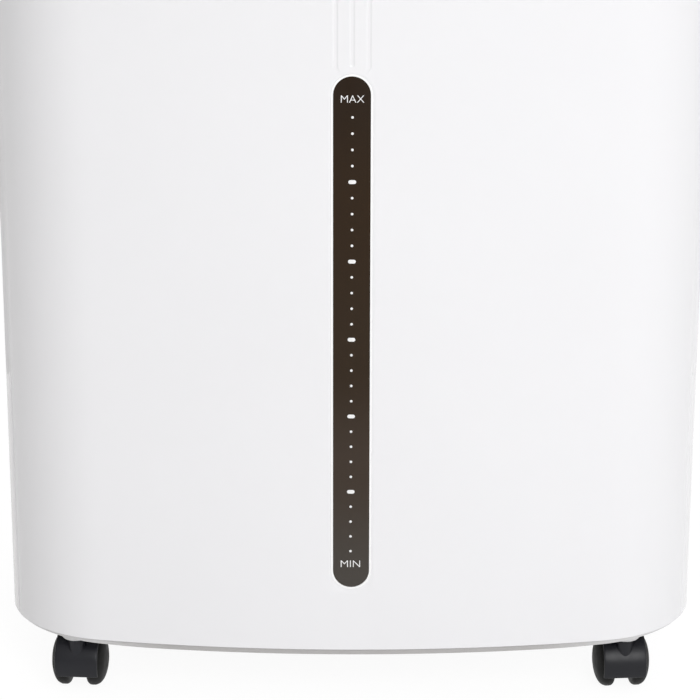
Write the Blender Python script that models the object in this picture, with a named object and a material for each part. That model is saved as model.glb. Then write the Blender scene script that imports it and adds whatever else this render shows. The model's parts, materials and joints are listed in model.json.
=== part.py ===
"""A portable dehumidifier on four twin-wheel castors, with a tall level window in its bowed front.

Units are metres. +Z is up, the front faces -Y, and the origin is on the floor under the middle of
the overall box. Air enters at the back through the filter, crosses the cold and the hot coil, and a
centrifugal fan blows it out under the flap in the top. Water drips from the cold coil through the
tray and the deck into the tank below, which pulls out to the rear. The level shows behind the lens
in the front, where the tank's sight nose stands close to it.
"""

import math

import bmesh
import bpy
from mathutils import Matrix, Vector

MM = 0.001

# ---------------------------------------------------------------- driving dimensions
CABINET_WIDTH = 390 * MM
CABINET_DEPTH = 287 * MM
REAR_FITTINGS = 3 * MM  # how far the cap and the gland stand out of the back

WALL = 2.6 * MM
FIT_GAP = 0.3 * MM
SEAM_GAP = 0.8 * MM
RUN_GAP = 0.3 * MM

FRONT_BOW_RADIUS = 750 * MM
FRONT_CORNER_RADIUS = 67 * MM
REAR_CORNER_RADIUS = 28 * MM
SEAM_ANGLE = math.radians(66)  # how far round the front corner the front panel reaches
TUCK_ANGLE = math.radians(60)  # how far forward the housing's lip tucks behind the panel
LIP_END = math.radians(88)

HOOD_HEADROOM = 1.4 * MM  # between the castors' hoods and the base's rim
RIM_HEIGHT = 3.2 * MM
RIM_INSET = 1.5 * MM
RIM_WIDTH = 2.5 * MM
PAN_FLOOR_THICKNESS = 3 * MM
PAN_WALL_HEIGHT = 19.3 * MM  # above the pan's underside
PAN_WALL = 2.2 * MM
RAIL_X = 80 * MM
RAIL_WIDTH = 4 * MM

TANK_WIDTH = 220 * MM
TANK_LIFT = 21.8 * MM  # from the pan's underside to the tank's
TANK_HEIGHT = 310 * MM
TANK_WALL = 2.5 * MM
TANK_SETBACK = 27 * MM  # from the middle of the front to the tank's front wall
TANK_SIDE_GAP = 1.2 * MM
NOSE_WIDTH = 30 * MM
NOSE_GAP = 1 * MM  # between the tank's nose and the lens
PULL_POCKET_WIDTH = 116 * MM
PULL_POCKET_HEIGHT = 60 * MM
PULL_POCKET_DEPTH = 26 * MM
PULL_POCKET_DROP = 40 * MM  # from the tank's top to the pocket's
PULL_PIN_RADIUS = 2.5 * MM
LID_THICKNESS = 2 * MM
FLOAT_PIN_RADIUS = 2 * MM
FLOAT_X = 72 * MM
FLOAT_SETBACK = 98 * MM  # from the tank's front wall to the float's pivot
FLOAT_DROP = 30 * MM

LENS_WIDTH = 19.4 * MM
LENS_RISE = 16 * MM  # from the tank's bottom to the lens's
LENS_DROP = 11 * MM  # from the tank's top to the lens's
LENS_RECESS = 0.6 * MM
LENS_FLANGE = 3 * MM  # how far the lens's flange reaches past the hole
GASKET_THICKNESS = 0.6 * MM
GROOVE_WIDTH = 3.0 * MM
GROOVE_DEPTH = 0.8 * MM
GROOVE_PITCH = 8.8 * MM
GROOVE_START = 5 * MM  # above the lens

SCOOP_RADIUS = 30 * MM
SCOOP_DEPTH = 1.9 * MM
SCOOP_RISE = 92 * MM  # from the tank's bottom to the scoop's
SCOOP_DROP = 40 * MM  # from the cover's seam to the scoop's top

WHEEL_RADIUS = 15.2 * MM
WHEEL_INNER = 4.9 * MM  # from the castor's middle plane
WHEEL_OUTER = 15.9 * MM
WHEEL_DOME = 6.0 * MM  # how far the outer face bulges
TREAD_CORNER = 2.6 * MM
HOOD_GAP = 0.6 * MM
HOOD_THICKNESS = 1.0 * MM
HOOD_HALF_WIDTH = 12.1 * MM
HOOD_REACH = math.radians(109)  # from straight up, to the front and to the back
CASTOR_TRAIL = 10.2 * MM
CASTOR_TOE = math.radians(4.5)  # how far the front castors rest turned outwards
CASTOR_SIDE_INSET = 40.5 * MM
CASTOR_FRONT_INSET = 11.4 * MM  # behind the plan's edge at the castor
CASTOR_REAR_INSET = 42 * MM
STEM_RADIUS = 3.0 * MM
STEM_TOP_RADIUS = 3.8 * MM
STEM_COLLAR_RADIUS = 4.7 * MM
STEM_LENGTH = 19.8 * MM  # above the pan's underside
BOSS_GAP = 1.6 * MM  # between the hood's boss and the pan
SOCKET_WALL = 1.6 * MM
AXLE_RADIUS = 2.0 * MM

DECK_GAP = 14 * MM  # from the tank's top to the deck
DECK_THICKNESS = 2 * MM
DECK_INSET = 4.8 * MM
DECK_HEADROOM = 253 * MM  # from the deck to the top of the cover
COVER_DEPTH = 39 * MM
BUTTON_PROUD = 1 * MM

INTAKE_WIDTH = 300 * MM
INTAKE_RISE = 24 * MM  # from the deck
INTAKE_DROP = 8 * MM  # from the cover's seam
INTAKE_SLOTS = 11
INTAKE_BORDER = 9 * MM
INTAKE_BAR = 4 * MM
FILTER_GAP = 0.6 * MM
FILTER_FRAME_DEPTH = 6 * MM

COIL_LEFT = -160 * MM
COIL_WIDTH = 230 * MM
COIL_HEIGHT = 186 * MM
COIL_THICKNESS = 22 * MM
COIL_FINS = 18
COIL_PITCH = 28 * MM  # between the two coils' middles
COIL_SETBACK = 38 * MM  # from the back to the cold coil's middle
COIL_LIFT = 16 * MM
TRAY_WALL = 2 * MM
TRAY_MARGIN = 4 * MM
TRAY_OUTLET_RADIUS = 7 * MM

FAN_X = -30 * MM
FAN_LIFT = 101 * MM  # above the deck
FAN_RADIUS = 60 * MM
FAN_WIDTH = 56 * MM
FAN_BLADES = 20
SCROLL_DEPTH = 84 * MM
SCROLL_SETBACK = 22 * MM  # from the hot coil's middle to the scroll
SCROLL_SMALL = 64 * MM
SCROLL_LARGE = 96 * MM
SCROLL_TONGUE = math.radians(60)  # where the spiral starts, from +X towards +Z
SCROLL_WALL = 2 * MM
MOTOR_RADIUS = 32 * MM
MOTOR_LENGTH = 58 * MM
SHAFT_RADIUS = 3 * MM

COMPRESSOR_X = 128 * MM
COMPRESSOR_SETBACK = 48 * MM  # from the hot coil's middle
COMPRESSOR_RADIUS = 46 * MM
COMPRESSOR_HEIGHT = 138 * MM
GROMMET_RADIUS = 8 * MM
GROMMET_HEIGHT = 10 * MM
ACCUMULATOR_RADIUS = 17 * MM
ACCUMULATOR_HEIGHT = 105 * MM
PIPE_RADIUS = 3.5 * MM
CAPILLARY_RADIUS = 1.6 * MM

OUTLET_HALF_WIDTH = 95 * MM
THROAT_HEIGHT = 33 * MM
THROAT_WALL = 2.5 * MM
FLAP_THICKNESS = 2.5 * MM
FLAP_GAP = 1.5 * MM
FLAP_HINGE_SETBACK = 4.2 * MM
FLAP_PIN_RADIUS = 2 * MM

FASCIA_HALF_WIDTH = 86 * MM
FASCIA_SETBACK = 28 * MM  # from the middle of the front
FASCIA_DEPTH = 50 * MM
FASCIA_THICKNESS = 2 * MM
FASCIA_LEDGE = 3 * MM
BUTTON_RADIUS = 5.8 * MM
BUTTON_PITCH = 28 * MM
BUTTON_SETBACK = 19 * MM  # from the fascia's front edge
BUTTON_TRAVEL = 0.8 * MM
BUTTON_NAMES = ("power", "mode", "speed", "timer", "humidity")

GRIP_LENGTH = 90 * MM
GRIP_HEIGHT = 28 * MM
GRIP_DEPTH = 14 * MM
GRIP_WALL = 2 * MM
GRIP_DROP = 50 * MM  # from the cover's seam to the pocket's top

GLAND_X = 145 * MM
GLAND_RISE = 45 * MM  # above the pan's underside
GLAND_RADIUS = 7 * MM
CORD_RADIUS = 3.6 * MM
SPOUT_X = -140 * MM
SPOUT_RADIUS = 5.5 * MM
SPOUT_WALL = 1.8 * MM

BOW_STEPS = 7
CORNER_STEPS = 5
TUCK_STEPS = 2
REAR_STEPS = 5

# ---------------------------------------------------------------- sizes worked out from those
HALF_WIDTH = CABINET_WIDTH / 2
PROUD_Y = (CABINET_DEPTH + REAR_FITTINGS) / 2
FRONT_Y = -PROUD_Y
REAR_Y = PROUD_Y - REAR_FITTINGS
RIM_BOTTOM = 2 * WHEEL_RADIUS + HOOD_GAP + HOOD_THICKNESS + HOOD_HEADROOM
PAN_UNDERSIDE = RIM_BOTTOM + RIM_HEIGHT
PAN_FLOOR = PAN_UNDERSIDE + PAN_FLOOR_THICKNESS
PAN_WALL_TOP = PAN_UNDERSIDE + PAN_WALL_HEIGHT
PANEL_BOTTOM = PAN_UNDERSIDE + FIT_GAP
STEM_TOP = PAN_UNDERSIDE + STEM_LENGTH

TANK_BOTTOM = PAN_UNDERSIDE + TANK_LIFT
TANK_TOP = TANK_BOTTOM + TANK_HEIGHT
TANK_HALF = TANK_WIDTH / 2
TANK_FRONT = FRONT_Y + TANK_SETBACK
PULL_POCKET_TOP = TANK_TOP - PULL_POCKET_DROP
LENS_LOW = TANK_BOTTOM + LENS_RISE
LENS_HIGH = TANK_TOP - LENS_DROP
DECK_BOTTOM = TANK_TOP + DECK_GAP
DECK_TOP = DECK_BOTTOM + DECK_THICKNESS
COVER_TOP = DECK_TOP + DECK_HEADROOM
COVER_SEAM = COVER_TOP - COVER_DEPTH
BUTTON_TOP = COVER_TOP + BUTTON_PROUD
THROAT_BOTTOM = COVER_TOP - THROAT_HEIGHT
INTAKE_LOW = DECK_TOP + INTAKE_RISE
INTAKE_HIGH = COVER_SEAM - INTAKE_DROP
SCOOP_LOW = TANK_BOTTOM + SCOOP_RISE
SCOOP_HIGH = COVER_SEAM - SCOOP_DROP
GRIP_TOP = COVER_SEAM - GRIP_DROP

EVAPORATOR_Y = REAR_Y - COIL_SETBACK
CONDENSER_Y = EVAPORATOR_Y - COIL_PITCH
COIL_BOTTOM = DECK_TOP + COIL_LIFT
COIL_TOP = COIL_BOTTOM + COIL_HEIGHT
COIL_RIGHT = COIL_LEFT + COIL_WIDTH
DRIP_PLACE = (-60 * MM, (EVAPORATOR_Y + CONDENSER_Y) / 2)
SPOUT_Z = DECK_TOP + FIT_GAP + TRAY_WALL + SPOUT_RADIUS
FAN_Z = DECK_TOP + FAN_LIFT
SCROLL_REAR = CONDENSER_Y - SCROLL_SETBACK
SCROLL_FRONT = SCROLL_REAR - SCROLL_DEPTH
COMPRESSOR_Y = CONDENSER_Y - COMPRESSOR_SETBACK
GLAND_Z = PAN_UNDERSIDE + GLAND_RISE

OUTLET_FRONT = SCROLL_FRONT + SCROLL_WALL
OUTLET_REAR = SCROLL_REAR - SCROLL_WALL
FASCIA_FRONT = FRONT_Y + FASCIA_SETBACK
FASCIA_REAR = FASCIA_FRONT + FASCIA_DEPTH
BUTTON_Y = FASCIA_FRONT + BUTTON_SETBACK
FLAP_HINGE = Vector((0, OUTLET_REAR - FLAP_HINGE_SETBACK, COVER_TOP - 3 * MM))
FLOAT_PIVOT = Vector((FLOAT_X, TANK_FRONT + FLOAT_SETBACK, TANK_TOP - FLOAT_DROP))

BOW_CENTRE_Y = FRONT_Y + FRONT_BOW_RADIUS
CORNER_X = HALF_WIDTH - FRONT_CORNER_RADIUS
CORNER_Y = BOW_CENTRE_Y - math.sqrt((FRONT_BOW_RADIUS - FRONT_CORNER_RADIUS) ** 2 - CORNER_X**2)
BOW_ANGLE = math.atan2(CORNER_X, BOW_CENTRE_Y - CORNER_Y)

CASTOR_X = HALF_WIDTH - CASTOR_SIDE_INSET
CASTOR_EDGE_Y = CORNER_Y - math.sqrt(FRONT_CORNER_RADIUS**2 - (CASTOR_X - CORNER_X) ** 2)
CASTOR_FRONT_Y = CASTOR_EDGE_Y + CASTOR_FRONT_INSET
CASTOR_REAR_Y = REAR_Y - CASTOR_REAR_INSET


# ---------------------------------------------------------------- materials
def material(name, colour, roughness, metallic=0.0, alpha=1.0):
    """A Principled BSDF with the piece's colour, roughness and metallic value."""
    made = bpy.data.materials.new(name)
    made.use_nodes = True
    shader = made.node_tree.nodes["Principled BSDF"]
    shader.inputs["Base Color"].default_value = (*colour, 1)
    shader.inputs["Roughness"].default_value = roughness
    shader.inputs["Metallic"].default_value = metallic
    shader.inputs["Alpha"].default_value = alpha
    return made


def make_materials():
    return {
        "white": material("white_gloss_plastic", (0.87, 0.87, 0.88), 0.22),
        "lens": material("smoked_lens", (0.02, 0.016, 0.014), 0.08),
        "grey": material("grey_plastic", (0.42, 0.42, 0.43), 0.5),
        "black": material("black_nylon", (0.025, 0.026, 0.03), 0.45),
        "fascia": material("dark_gloss_fascia", (0.03, 0.03, 0.035), 0.1),
        "button": material("button_plastic", (0.75, 0.75, 0.76), 0.35),
        "tank": material("clear_tank", (0.8, 0.86, 0.9), 0.15, alpha=0.4),
        "foam": material("float_foam", (0.9, 0.9, 0.86), 0.9),
        "steel": material("zinc_steel", (0.6, 0.6, 0.62), 0.35, 1.0),
        "copper": material("copper_tube", (0.72, 0.38, 0.22), 0.3, 1.0),
        "fins": material("aluminium_fins", (0.78, 0.79, 0.8), 0.4, 1.0),
        "shell": material("compressor_paint", (0.03, 0.03, 0.03), 0.3),
        "rubber": material("rubber", (0.04, 0.04, 0.04), 0.8),
        "mesh": material("filter_mesh", (0.1, 0.1, 0.11), 0.8),
        "board": material("circuit_board", (0.05, 0.25, 0.1), 0.5),
    }


# ---------------------------------------------------------------- building tools
def clear_scene():
    for obj in list(bpy.data.objects):
        bpy.data.objects.remove(obj, do_unlink=True)


def object_from(name, bm):
    """Turns a bmesh into an object whose faces point out."""
    bmesh.ops.recalc_face_normals(bm, faces=bm.faces)
    mesh = bpy.data.meshes.new(name)
    bm.to_mesh(mesh)
    bm.free()
    obj = bpy.data.objects.new(name, mesh)
    bpy.context.scene.collection.objects.link(obj)
    return obj


def loft(name, rings):
    """A closed solid through rings of as many points each, with a flat cap at either end."""
    bm = bmesh.new()
    rows = [[bm.verts.new(point) for point in ring] for ring in rings]
    for low, high in zip(rows, rows[1:]):
        for i, start in enumerate(low):
            j = (i + 1) % len(low)
            bm.faces.new((start, low[j], high[j], high[i]))
    bm.faces.new(rows[0][::-1])
    bm.faces.new(rows[-1])
    return object_from(name, bm)


def prism(name, outline, low, high, axis="Z"):
    """An outline of two coordinates, drawn out along an axis: x and z along Y, or y and z along X."""
    place = {
        "Z": lambda a, b, h: (a, b, h),
        "Y": lambda a, b, h: (a, h, b),
        "X": lambda a, b, h: (h, a, b),
    }[axis]
    return loft(name, [[place(a, b, h) for a, b in outline] for h in (low, high)])


def block(name, x, y, z):
    """A box from its low and high x, y and z."""
    return prism(name, [(x[0], y[0]), (x[1], y[0]), (x[1], y[1]), (x[0], y[1])], *z)


def turned(name, profile, centre, axis="Z", segments=16):
    """A solid of revolution. The profile runs from pole to pole as (distance along the axis, radius)."""
    bm = bmesh.new()
    turn = {
        "Z": lambda h, a, b: (a, b, h),
        "Y": lambda h, a, b: (b, h, a),
        "X": lambda h, a, b: (h, a, b),
    }[axis]
    rows = []
    for height, radius in profile:
        steps = 1 if radius == 0 else segments
        angles = [2 * math.pi * i / segments for i in range(steps)]
        points = [turn(height, radius * math.cos(a), radius * math.sin(a)) for a in angles]
        rows.append([bm.verts.new(Vector(p) + Vector(centre)) for p in points])
    for low, high in zip(rows, rows[1:]):
        for i in range(segments):
            j = (i + 1) % segments
            corners = [low[i % len(low)], low[j % len(low)], high[j % len(high)], high[i % len(high)]]
            bm.faces.new(list(dict.fromkeys(corners)))  # at a pole two corners are one point
    return object_from(name, bm)


def rod(name, radius, start, end, axis="Z", across=(0, 0), segments=16):
    """A round bar along an axis. across is its place on the other two axes, in X, Y, Z order."""
    centre = {"X": (0, *across), "Y": (across[0], 0, across[1]), "Z": (*across, 0)}[axis]
    return turned(name, [(start, 0), (start, radius), (end, radius), (end, 0)], centre, axis, segments)


def stadium(width, low, high, steps=6):
    """A slot's outline in x and z: straight sides and round ends."""
    r = width / 2
    turns = [math.pi * i / steps for i in range(steps + 1)]
    top = [(r * math.cos(t), high - r + r * math.sin(t)) for t in turns]
    bottom = [(-r * math.cos(t), low + r - r * math.sin(t)) for t in turns]
    return top + bottom


def combine(target, tool, operation):
    """Applies a Boolean to the target's mesh and removes the tool."""
    modifier = target.modifiers.new(operation.lower(), "BOOLEAN")
    modifier.operation = operation
    modifier.object = tool
    modifier.solver = "EXACT"
    graph = bpy.context.evaluated_depsgraph_get()
    result = bpy.data.meshes.new_from_object(target.evaluated_get(graph))
    target.modifiers.clear()
    target.data = result
    bpy.data.objects.remove(tool, do_unlink=True)
    return target


def cut(target, *tools):
    for tool in tools:
        combine(target, tool, "DIFFERENCE")
    return target


def join(target, *tools):
    for tool in tools:
        combine(target, tool, "UNION")
    return target


def tube(name, points, radius, sides=2):
    """A pipe along points, with closed ends."""
    curve = bpy.data.curves.new(name, "CURVE")
    curve.dimensions = "3D"
    curve.bevel_depth = radius
    curve.bevel_resolution = sides
    curve.use_fill_caps = True
    spline = curve.splines.new("POLY")
    spline.points.add(len(points) - 1)
    for place, point in zip(spline.points, points):
        place.co = (*point, 1)
    obj = bpy.data.objects.new(name, curve)
    bpy.context.scene.collection.objects.link(obj)
    return obj


def smooth_path(points, steps=5):
    """Points along a Catmull-Rom curve through the given points."""
    path = [Vector(p) for p in points]
    ends = [2 * path[0] - path[1], *path, 2 * path[-1] - path[-2]]
    found = []
    for a, b, c, d in zip(ends, ends[1:], ends[2:], ends[3:]):
        for i in range(steps):
            t = i / steps
            square = (2 * a - 5 * b + 4 * c - d) * t**2
            cube = (3 * b - a - 3 * c + d) * t**3
            found.append(0.5 * (2 * b + (c - a) * t + square + cube))
    return [*found, path[-1]]


def finish(obj, finish_material, name=None, origin=None, parent=None):
    """Gives a piece its material and name, and puts its origin on its joint."""
    if name:
        obj.name = name
    obj.data.materials.clear()
    obj.data.materials.append(finish_material)
    if obj.type == "MESH":
        obj.data.shade_smooth()
        obj.data.set_sharp_from_angle(angle=math.radians(35))
    if origin is not None:
        obj.data.transform(Matrix.Translation(-Vector(origin)))
        obj.location = origin
    if parent is not None:
        bpy.context.view_layer.update()
        obj.parent = parent
        obj.matrix_parent_inverse = parent.matrix_world.inverted()
    return obj


def pivot(name, place, parent=None):
    """An empty on a joint's axis, which carries the pieces that move together."""
    empty = bpy.data.objects.new(name, None)
    bpy.context.scene.collection.objects.link(empty)
    empty.location = place
    if parent is not None:
        bpy.context.view_layer.update()
        empty.parent = parent
        empty.matrix_parent_inverse = parent.matrix_world.inverted()
    bpy.context.view_layer.update()
    return empty


# ---------------------------------------------------------------- the cabinet's plan
def arc(x, y, radius, start, end, steps):
    """Points on an arc. Angles run from the front, -Y, towards +X."""
    angles = [start + (end - start) * i / steps for i in range(steps + 1)]
    return [(x + radius * math.sin(a), y - radius * math.cos(a)) for a in angles]


def mirrored(points):
    return [(-x, y) for x, y in reversed(points)]


def front_strip(inset, seam):
    """The plan from the left seam across the bowed front to the right seam."""
    bow = arc(0, BOW_CENTRE_Y, FRONT_BOW_RADIUS - inset, 0, BOW_ANGLE, BOW_STEPS)
    corner = arc(CORNER_X, CORNER_Y, FRONT_CORNER_RADIUS - inset, BOW_ANGLE, seam, CORNER_STEPS)
    half = bow[1:] + corner[1:]
    return mirrored(half) + [bow[0]] + half


def rear_strip(inset, seam):
    """The plan from the right seam round the back to the left seam."""
    corner = arc(CORNER_X, CORNER_Y, FRONT_CORNER_RADIUS - inset, seam, math.pi / 2, TUCK_STEPS)
    rear = arc(
        HALF_WIDTH - REAR_CORNER_RADIUS,
        REAR_Y - REAR_CORNER_RADIUS,
        REAR_CORNER_RADIUS - inset,
        math.pi / 2,
        math.pi,
        REAR_STEPS,
    )
    half = corner + rear
    return half + mirrored(half)


def cabinet_plan(inset):
    """The whole plan, drawn in by inset."""
    return front_strip(inset, SEAM_ANGLE) + rear_strip(inset, SEAM_ANGLE)[1:-1]


def plan_y(x, inset=0.0):
    """How far forward the front reaches at x."""
    return BOW_CENTRE_Y - math.sqrt((FRONT_BOW_RADIUS - inset) ** 2 - x**2)


# ---------------------------------------------------------------- casing
def make_base_pan(look):
    pan = prism("base_pan", cabinet_plan(RIM_INSET), RIM_BOTTOM, PAN_UNDERSIDE)
    wall_inset = WALL + FIT_GAP + 0.1 * MM
    join(pan, prism("floor", cabinet_plan(wall_inset), RIM_BOTTOM + 1 * MM, PAN_WALL_TOP))
    cut(
        pan,
        prism("inside", cabinet_plan(wall_inset + PAN_WALL), PAN_FLOOR, PAN_WALL_TOP + 5 * MM),
        prism("under", cabinet_plan(RIM_INSET + RIM_WIDTH), RIM_BOTTOM - 5 * MM, PAN_UNDERSIDE),
    )
    rail_y = (TANK_FRONT + 13 * MM, REAR_Y - 8 * MM)
    rail_z = (PAN_FLOOR - 1 * MM, TANK_BOTTOM - FIT_GAP)
    for x in (-RAIL_X, RAIL_X):
        join(pan, block("rail", (x - RAIL_WIDTH / 2, x + RAIL_WIDTH / 2), rail_y, rail_z))
    bore = STEM_TOP_RADIUS + RUN_GAP
    for x in (-CASTOR_X, CASTOR_X):
        for y in (CASTOR_FRONT_Y, CASTOR_REAR_Y):
            place = {"across": (x, y), "segments": 12}
            join(pan, rod("socket", bore + SOCKET_WALL, PAN_UNDERSIDE + 1 * MM, STEM_TOP + 3 * MM, **place))
            cut(pan, rod("bore", bore, PAN_UNDERSIDE - 5 * MM, STEM_TOP + RUN_GAP, **place))
    finish(pan, look["grey"])


def make_front_panel(look):
    seam = SEAM_ANGLE - SEAM_GAP / 2 / FRONT_CORNER_RADIUS
    outline = front_strip(0, seam) + front_strip(WALL, seam)[::-1]
    panel = prism("front_panel", outline, PANEL_BOTTOM, COVER_SEAM - FIT_GAP)
    reach = (FRONT_Y - 5 * MM, FRONT_Y + 10 * MM)
    cut(
        panel,
        prism("hole", stadium(LENS_WIDTH, LENS_LOW, LENS_HIGH), *reach, axis="Y"),
        prism(
            "bezel",
            stadium(LENS_WIDTH + 1.6 * MM, LENS_LOW - 0.8 * MM, LENS_HIGH + 0.8 * MM),
            FRONT_Y - 5 * MM,
            FRONT_Y + LENS_RECESS,
            axis="Y",
        ),
    )
    for side in (-1, 0, 1):
        x = side * GROOVE_PITCH
        low = LENS_HIGH + GROOVE_START - abs(side) * 2 * MM
        groove = prism(
            "groove",
            [(px + x, pz) for px, pz in stadium(GROOVE_WIDTH, low, COVER_SEAM + 10 * MM, 4)],
            FRONT_Y - 5 * MM,
            plan_y(x) + GROOVE_DEPTH,
            axis="Y",
        )
        cut(panel, groove)
    finish(panel, look["white"])


def seam_arc(inset, start, end, steps=2):
    """Points round the front corner, drawn in by inset."""
    return arc(CORNER_X, CORNER_Y, FRONT_CORNER_RADIUS - inset, start, end, steps)


def scoop_cutter(side):
    """A round-ended bar that leaves a shallow finger scoop just behind the front panel's edge."""
    joint_radius = FRONT_CORNER_RADIUS * SCOOP_RADIUS / (FRONT_CORNER_RADIUS + SCOOP_RADIUS)
    half_width = math.sqrt(2 * SCOOP_DEPTH * joint_radius)
    angle = SEAM_ANGLE + half_width / FRONT_CORNER_RADIUS
    x, y = seam_arc(SCOOP_DEPTH - SCOOP_RADIUS, angle, angle)[0]
    ends = []
    for centre, turn in ((SCOOP_LOW + SCOOP_RADIUS, -1), (SCOOP_HIGH - SCOOP_RADIUS, 1)):
        angles = [math.pi / 2 * i / 5 for i in range(6)]
        quarter = [(centre + turn * SCOOP_RADIUS * math.cos(a), SCOOP_RADIUS * math.sin(a)) for a in angles]
        ends.append(quarter)
    profile = [(h, 0 if r < 1e-9 else r) for h, r in ends[0] + ends[1][::-1]]
    return turned("scoop", profile, (side * x, y, 0), segments=24)


def make_rear_housing(look):
    seam = SEAM_ANGLE + SEAM_GAP / 2 / FRONT_CORNER_RADIUS
    outline = rear_strip(0, seam) + rear_strip(WALL, seam)[::-1]
    housing = prism("rear_housing", outline, PANEL_BOTTOM, COVER_SEAM - FIT_GAP)
    lip_height = (PAN_WALL_TOP + 1 * MM, COVER_SEAM - 6 * MM)
    step = seam + math.radians(0.4)
    for side in (-1, 1):
        lip = seam_arc(WALL + 0.4 * MM, TUCK_ANGLE, step) + seam_arc(WALL - 0.2 * MM, step, LIP_END, 3)
        lip += seam_arc(WALL + 1.8 * MM, TUCK_ANGLE, LIP_END, 4)[::-1]
        join(housing, prism("lip", [(side * x, y) for x, y in lip], *lip_height))
        cut(housing, scoop_cutter(side))
        deep = HALF_WIDTH - GRIP_DEPTH
        grip_y = (-GRIP_LENGTH / 2, GRIP_LENGTH / 2)
        grip_z = (GRIP_TOP - GRIP_HEIGHT, GRIP_TOP)
        wrapped = [(low - GRIP_WALL, high + GRIP_WALL) for low, high in (grip_y, grip_z)]
        wall_x = sorted((side * (deep - GRIP_WALL), side * (HALF_WIDTH - WALL / 2)))
        join(housing, block("grip_wall", wall_x, *wrapped))
        pocket = sorted((side * deep, side * (HALF_WIDTH + 5 * MM)))
        cut(housing, block("grip_pocket", pocket, grip_y, grip_z))
        ledge_x = sorted((side * (HALF_WIDTH - WALL / 2), side * (HALF_WIDTH - 12 * MM)))
        ledge_z = (DECK_BOTTOM - FIT_GAP - 4 * MM, DECK_BOTTOM - FIT_GAP)
        join(housing, block("deck_ledge", ledge_x, (TANK_FRONT + 50 * MM, REAR_Y - 32 * MM), ledge_z))
    back = (REAR_Y - 8 * MM, REAR_Y + 8 * MM)
    opening = TANK_HALF + TANK_SIDE_GAP
    cut(
        housing,
        block("tank_opening", (-opening, opening), back, (TANK_BOTTOM - 1 * MM, TANK_TOP + 5.5 * MM)),
        block("intake", (-INTAKE_WIDTH / 2, INTAKE_WIDTH / 2), back, (INTAKE_LOW, INTAKE_HIGH)),
        rod("gland_hole", GLAND_RADIUS + FIT_GAP, *back, axis="Y", across=(GLAND_X, GLAND_Z)),
        rod("spout_hole", SPOUT_RADIUS + 0.6 * MM, *back, axis="Y", across=(SPOUT_X, SPOUT_Z)),
    )
    finish(housing, look["white"])


def make_top_cover(look):
    edge = [(COVER_SEAM, 0)]
    edge += [(COVER_TOP - drop * MM, inset * MM) for drop, inset in ((17, 0), (8, 2.2), (2.5, 6.5), (0, 14))]
    cover = loft("top_cover", [[(x, y, z) for x, y in cabinet_plan(inset)] for z, inset in edge])
    hollow = [(COVER_SEAM - 5 * MM, WALL), (COVER_TOP - 18 * MM, WALL)]
    hollow += [(COVER_TOP - drop * MM, inset * MM) for drop, inset in ((9.5, 4.8), (5, 8.5), (2.8, 15))]
    cut(cover, loft("hollow", [[(x, y, z) for x, y in cabinet_plan(inset)] for z, inset in hollow]))
    outer = OUTLET_HALF_WIDTH + THROAT_WALL
    sides = (OUTLET_FRONT - THROAT_WALL, OUTLET_REAR + THROAT_WALL)
    ledge = FASCIA_LEDGE
    fascia_y = (FASCIA_FRONT - ledge, FASCIA_REAR + ledge)
    fascia_z = COVER_TOP - FASCIA_THICKNESS - FIT_GAP
    join(
        cover,
        block("throat", (-outer, outer), sides, (THROAT_BOTTOM, COVER_TOP - 1.5 * MM)),
        block(
            "ledge",
            (-FASCIA_HALF_WIDTH - ledge, FASCIA_HALF_WIDTH + ledge),
            fascia_y,
            (fascia_z - 2.5 * MM, COVER_TOP - 1 * MM),
        ),
    )
    cut(
        cover,
        block(
            "outlet",
            (-OUTLET_HALF_WIDTH, OUTLET_HALF_WIDTH),
            (OUTLET_FRONT, OUTLET_REAR),
            (THROAT_BOTTOM - 5 * MM, COVER_TOP + 5 * MM),
        ),
        block(
            "fascia_seat",
            (-FASCIA_HALF_WIDTH - FIT_GAP, FASCIA_HALF_WIDTH + FIT_GAP),
            (FASCIA_FRONT - FIT_GAP, FASCIA_REAR + FIT_GAP),
            (fascia_z, COVER_TOP + 5 * MM),
        ),
        block(
            "fascia_hole",
            (-FASCIA_HALF_WIDTH + ledge, FASCIA_HALF_WIDTH - ledge),
            (FASCIA_FRONT + ledge, FASCIA_REAR - ledge),
            (fascia_z - 10 * MM, COVER_TOP + 5 * MM),
        ),
        rod(
            "pin_holes",
            FLAP_PIN_RADIUS + RUN_GAP,
            -outer - 2 * MM,
            outer + 2 * MM,
            axis="X",
            across=(FLAP_HINGE.y, FLAP_HINGE.z),
        ),
    )
    finish(cover, look["white"])


def make_lens(look):
    """The lens drops into the hole from inside and clamps its gasket behind the panel."""
    behind = FRONT_Y + WALL
    gasket = (behind + FIT_GAP, behind + FIT_GAP + GASKET_THICKNESS)
    flange = (gasket[1] + FIT_GAP, gasket[1] + FIT_GAP + 1.2 * MM)
    gap = 2 * FIT_GAP
    lens = prism(
        "window_lens",
        stadium(LENS_WIDTH - gap, LENS_LOW + FIT_GAP, LENS_HIGH - FIT_GAP),
        FRONT_Y + 0.35 * MM,
        flange[0] + 0.5 * MM,
        axis="Y",
    )
    wide = LENS_WIDTH + 2 * LENS_FLANGE
    reach = (LENS_LOW - LENS_FLANGE, LENS_HIGH + LENS_FLANGE)
    join(lens, prism("flange", stadium(wide, *reach), *flange, axis="Y"))
    finish(lens, look["lens"])
    ring = prism("window_gasket", stadium(wide, *reach), *gasket, axis="Y")
    inner = stadium(LENS_WIDTH + 1 * MM, LENS_LOW - 0.5 * MM, LENS_HIGH + 0.5 * MM)
    cut(ring, prism("inner", inner, behind - 5 * MM, behind + 10 * MM, axis="Y"))
    finish(ring, look["rubber"])
    return flange[1]


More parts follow.
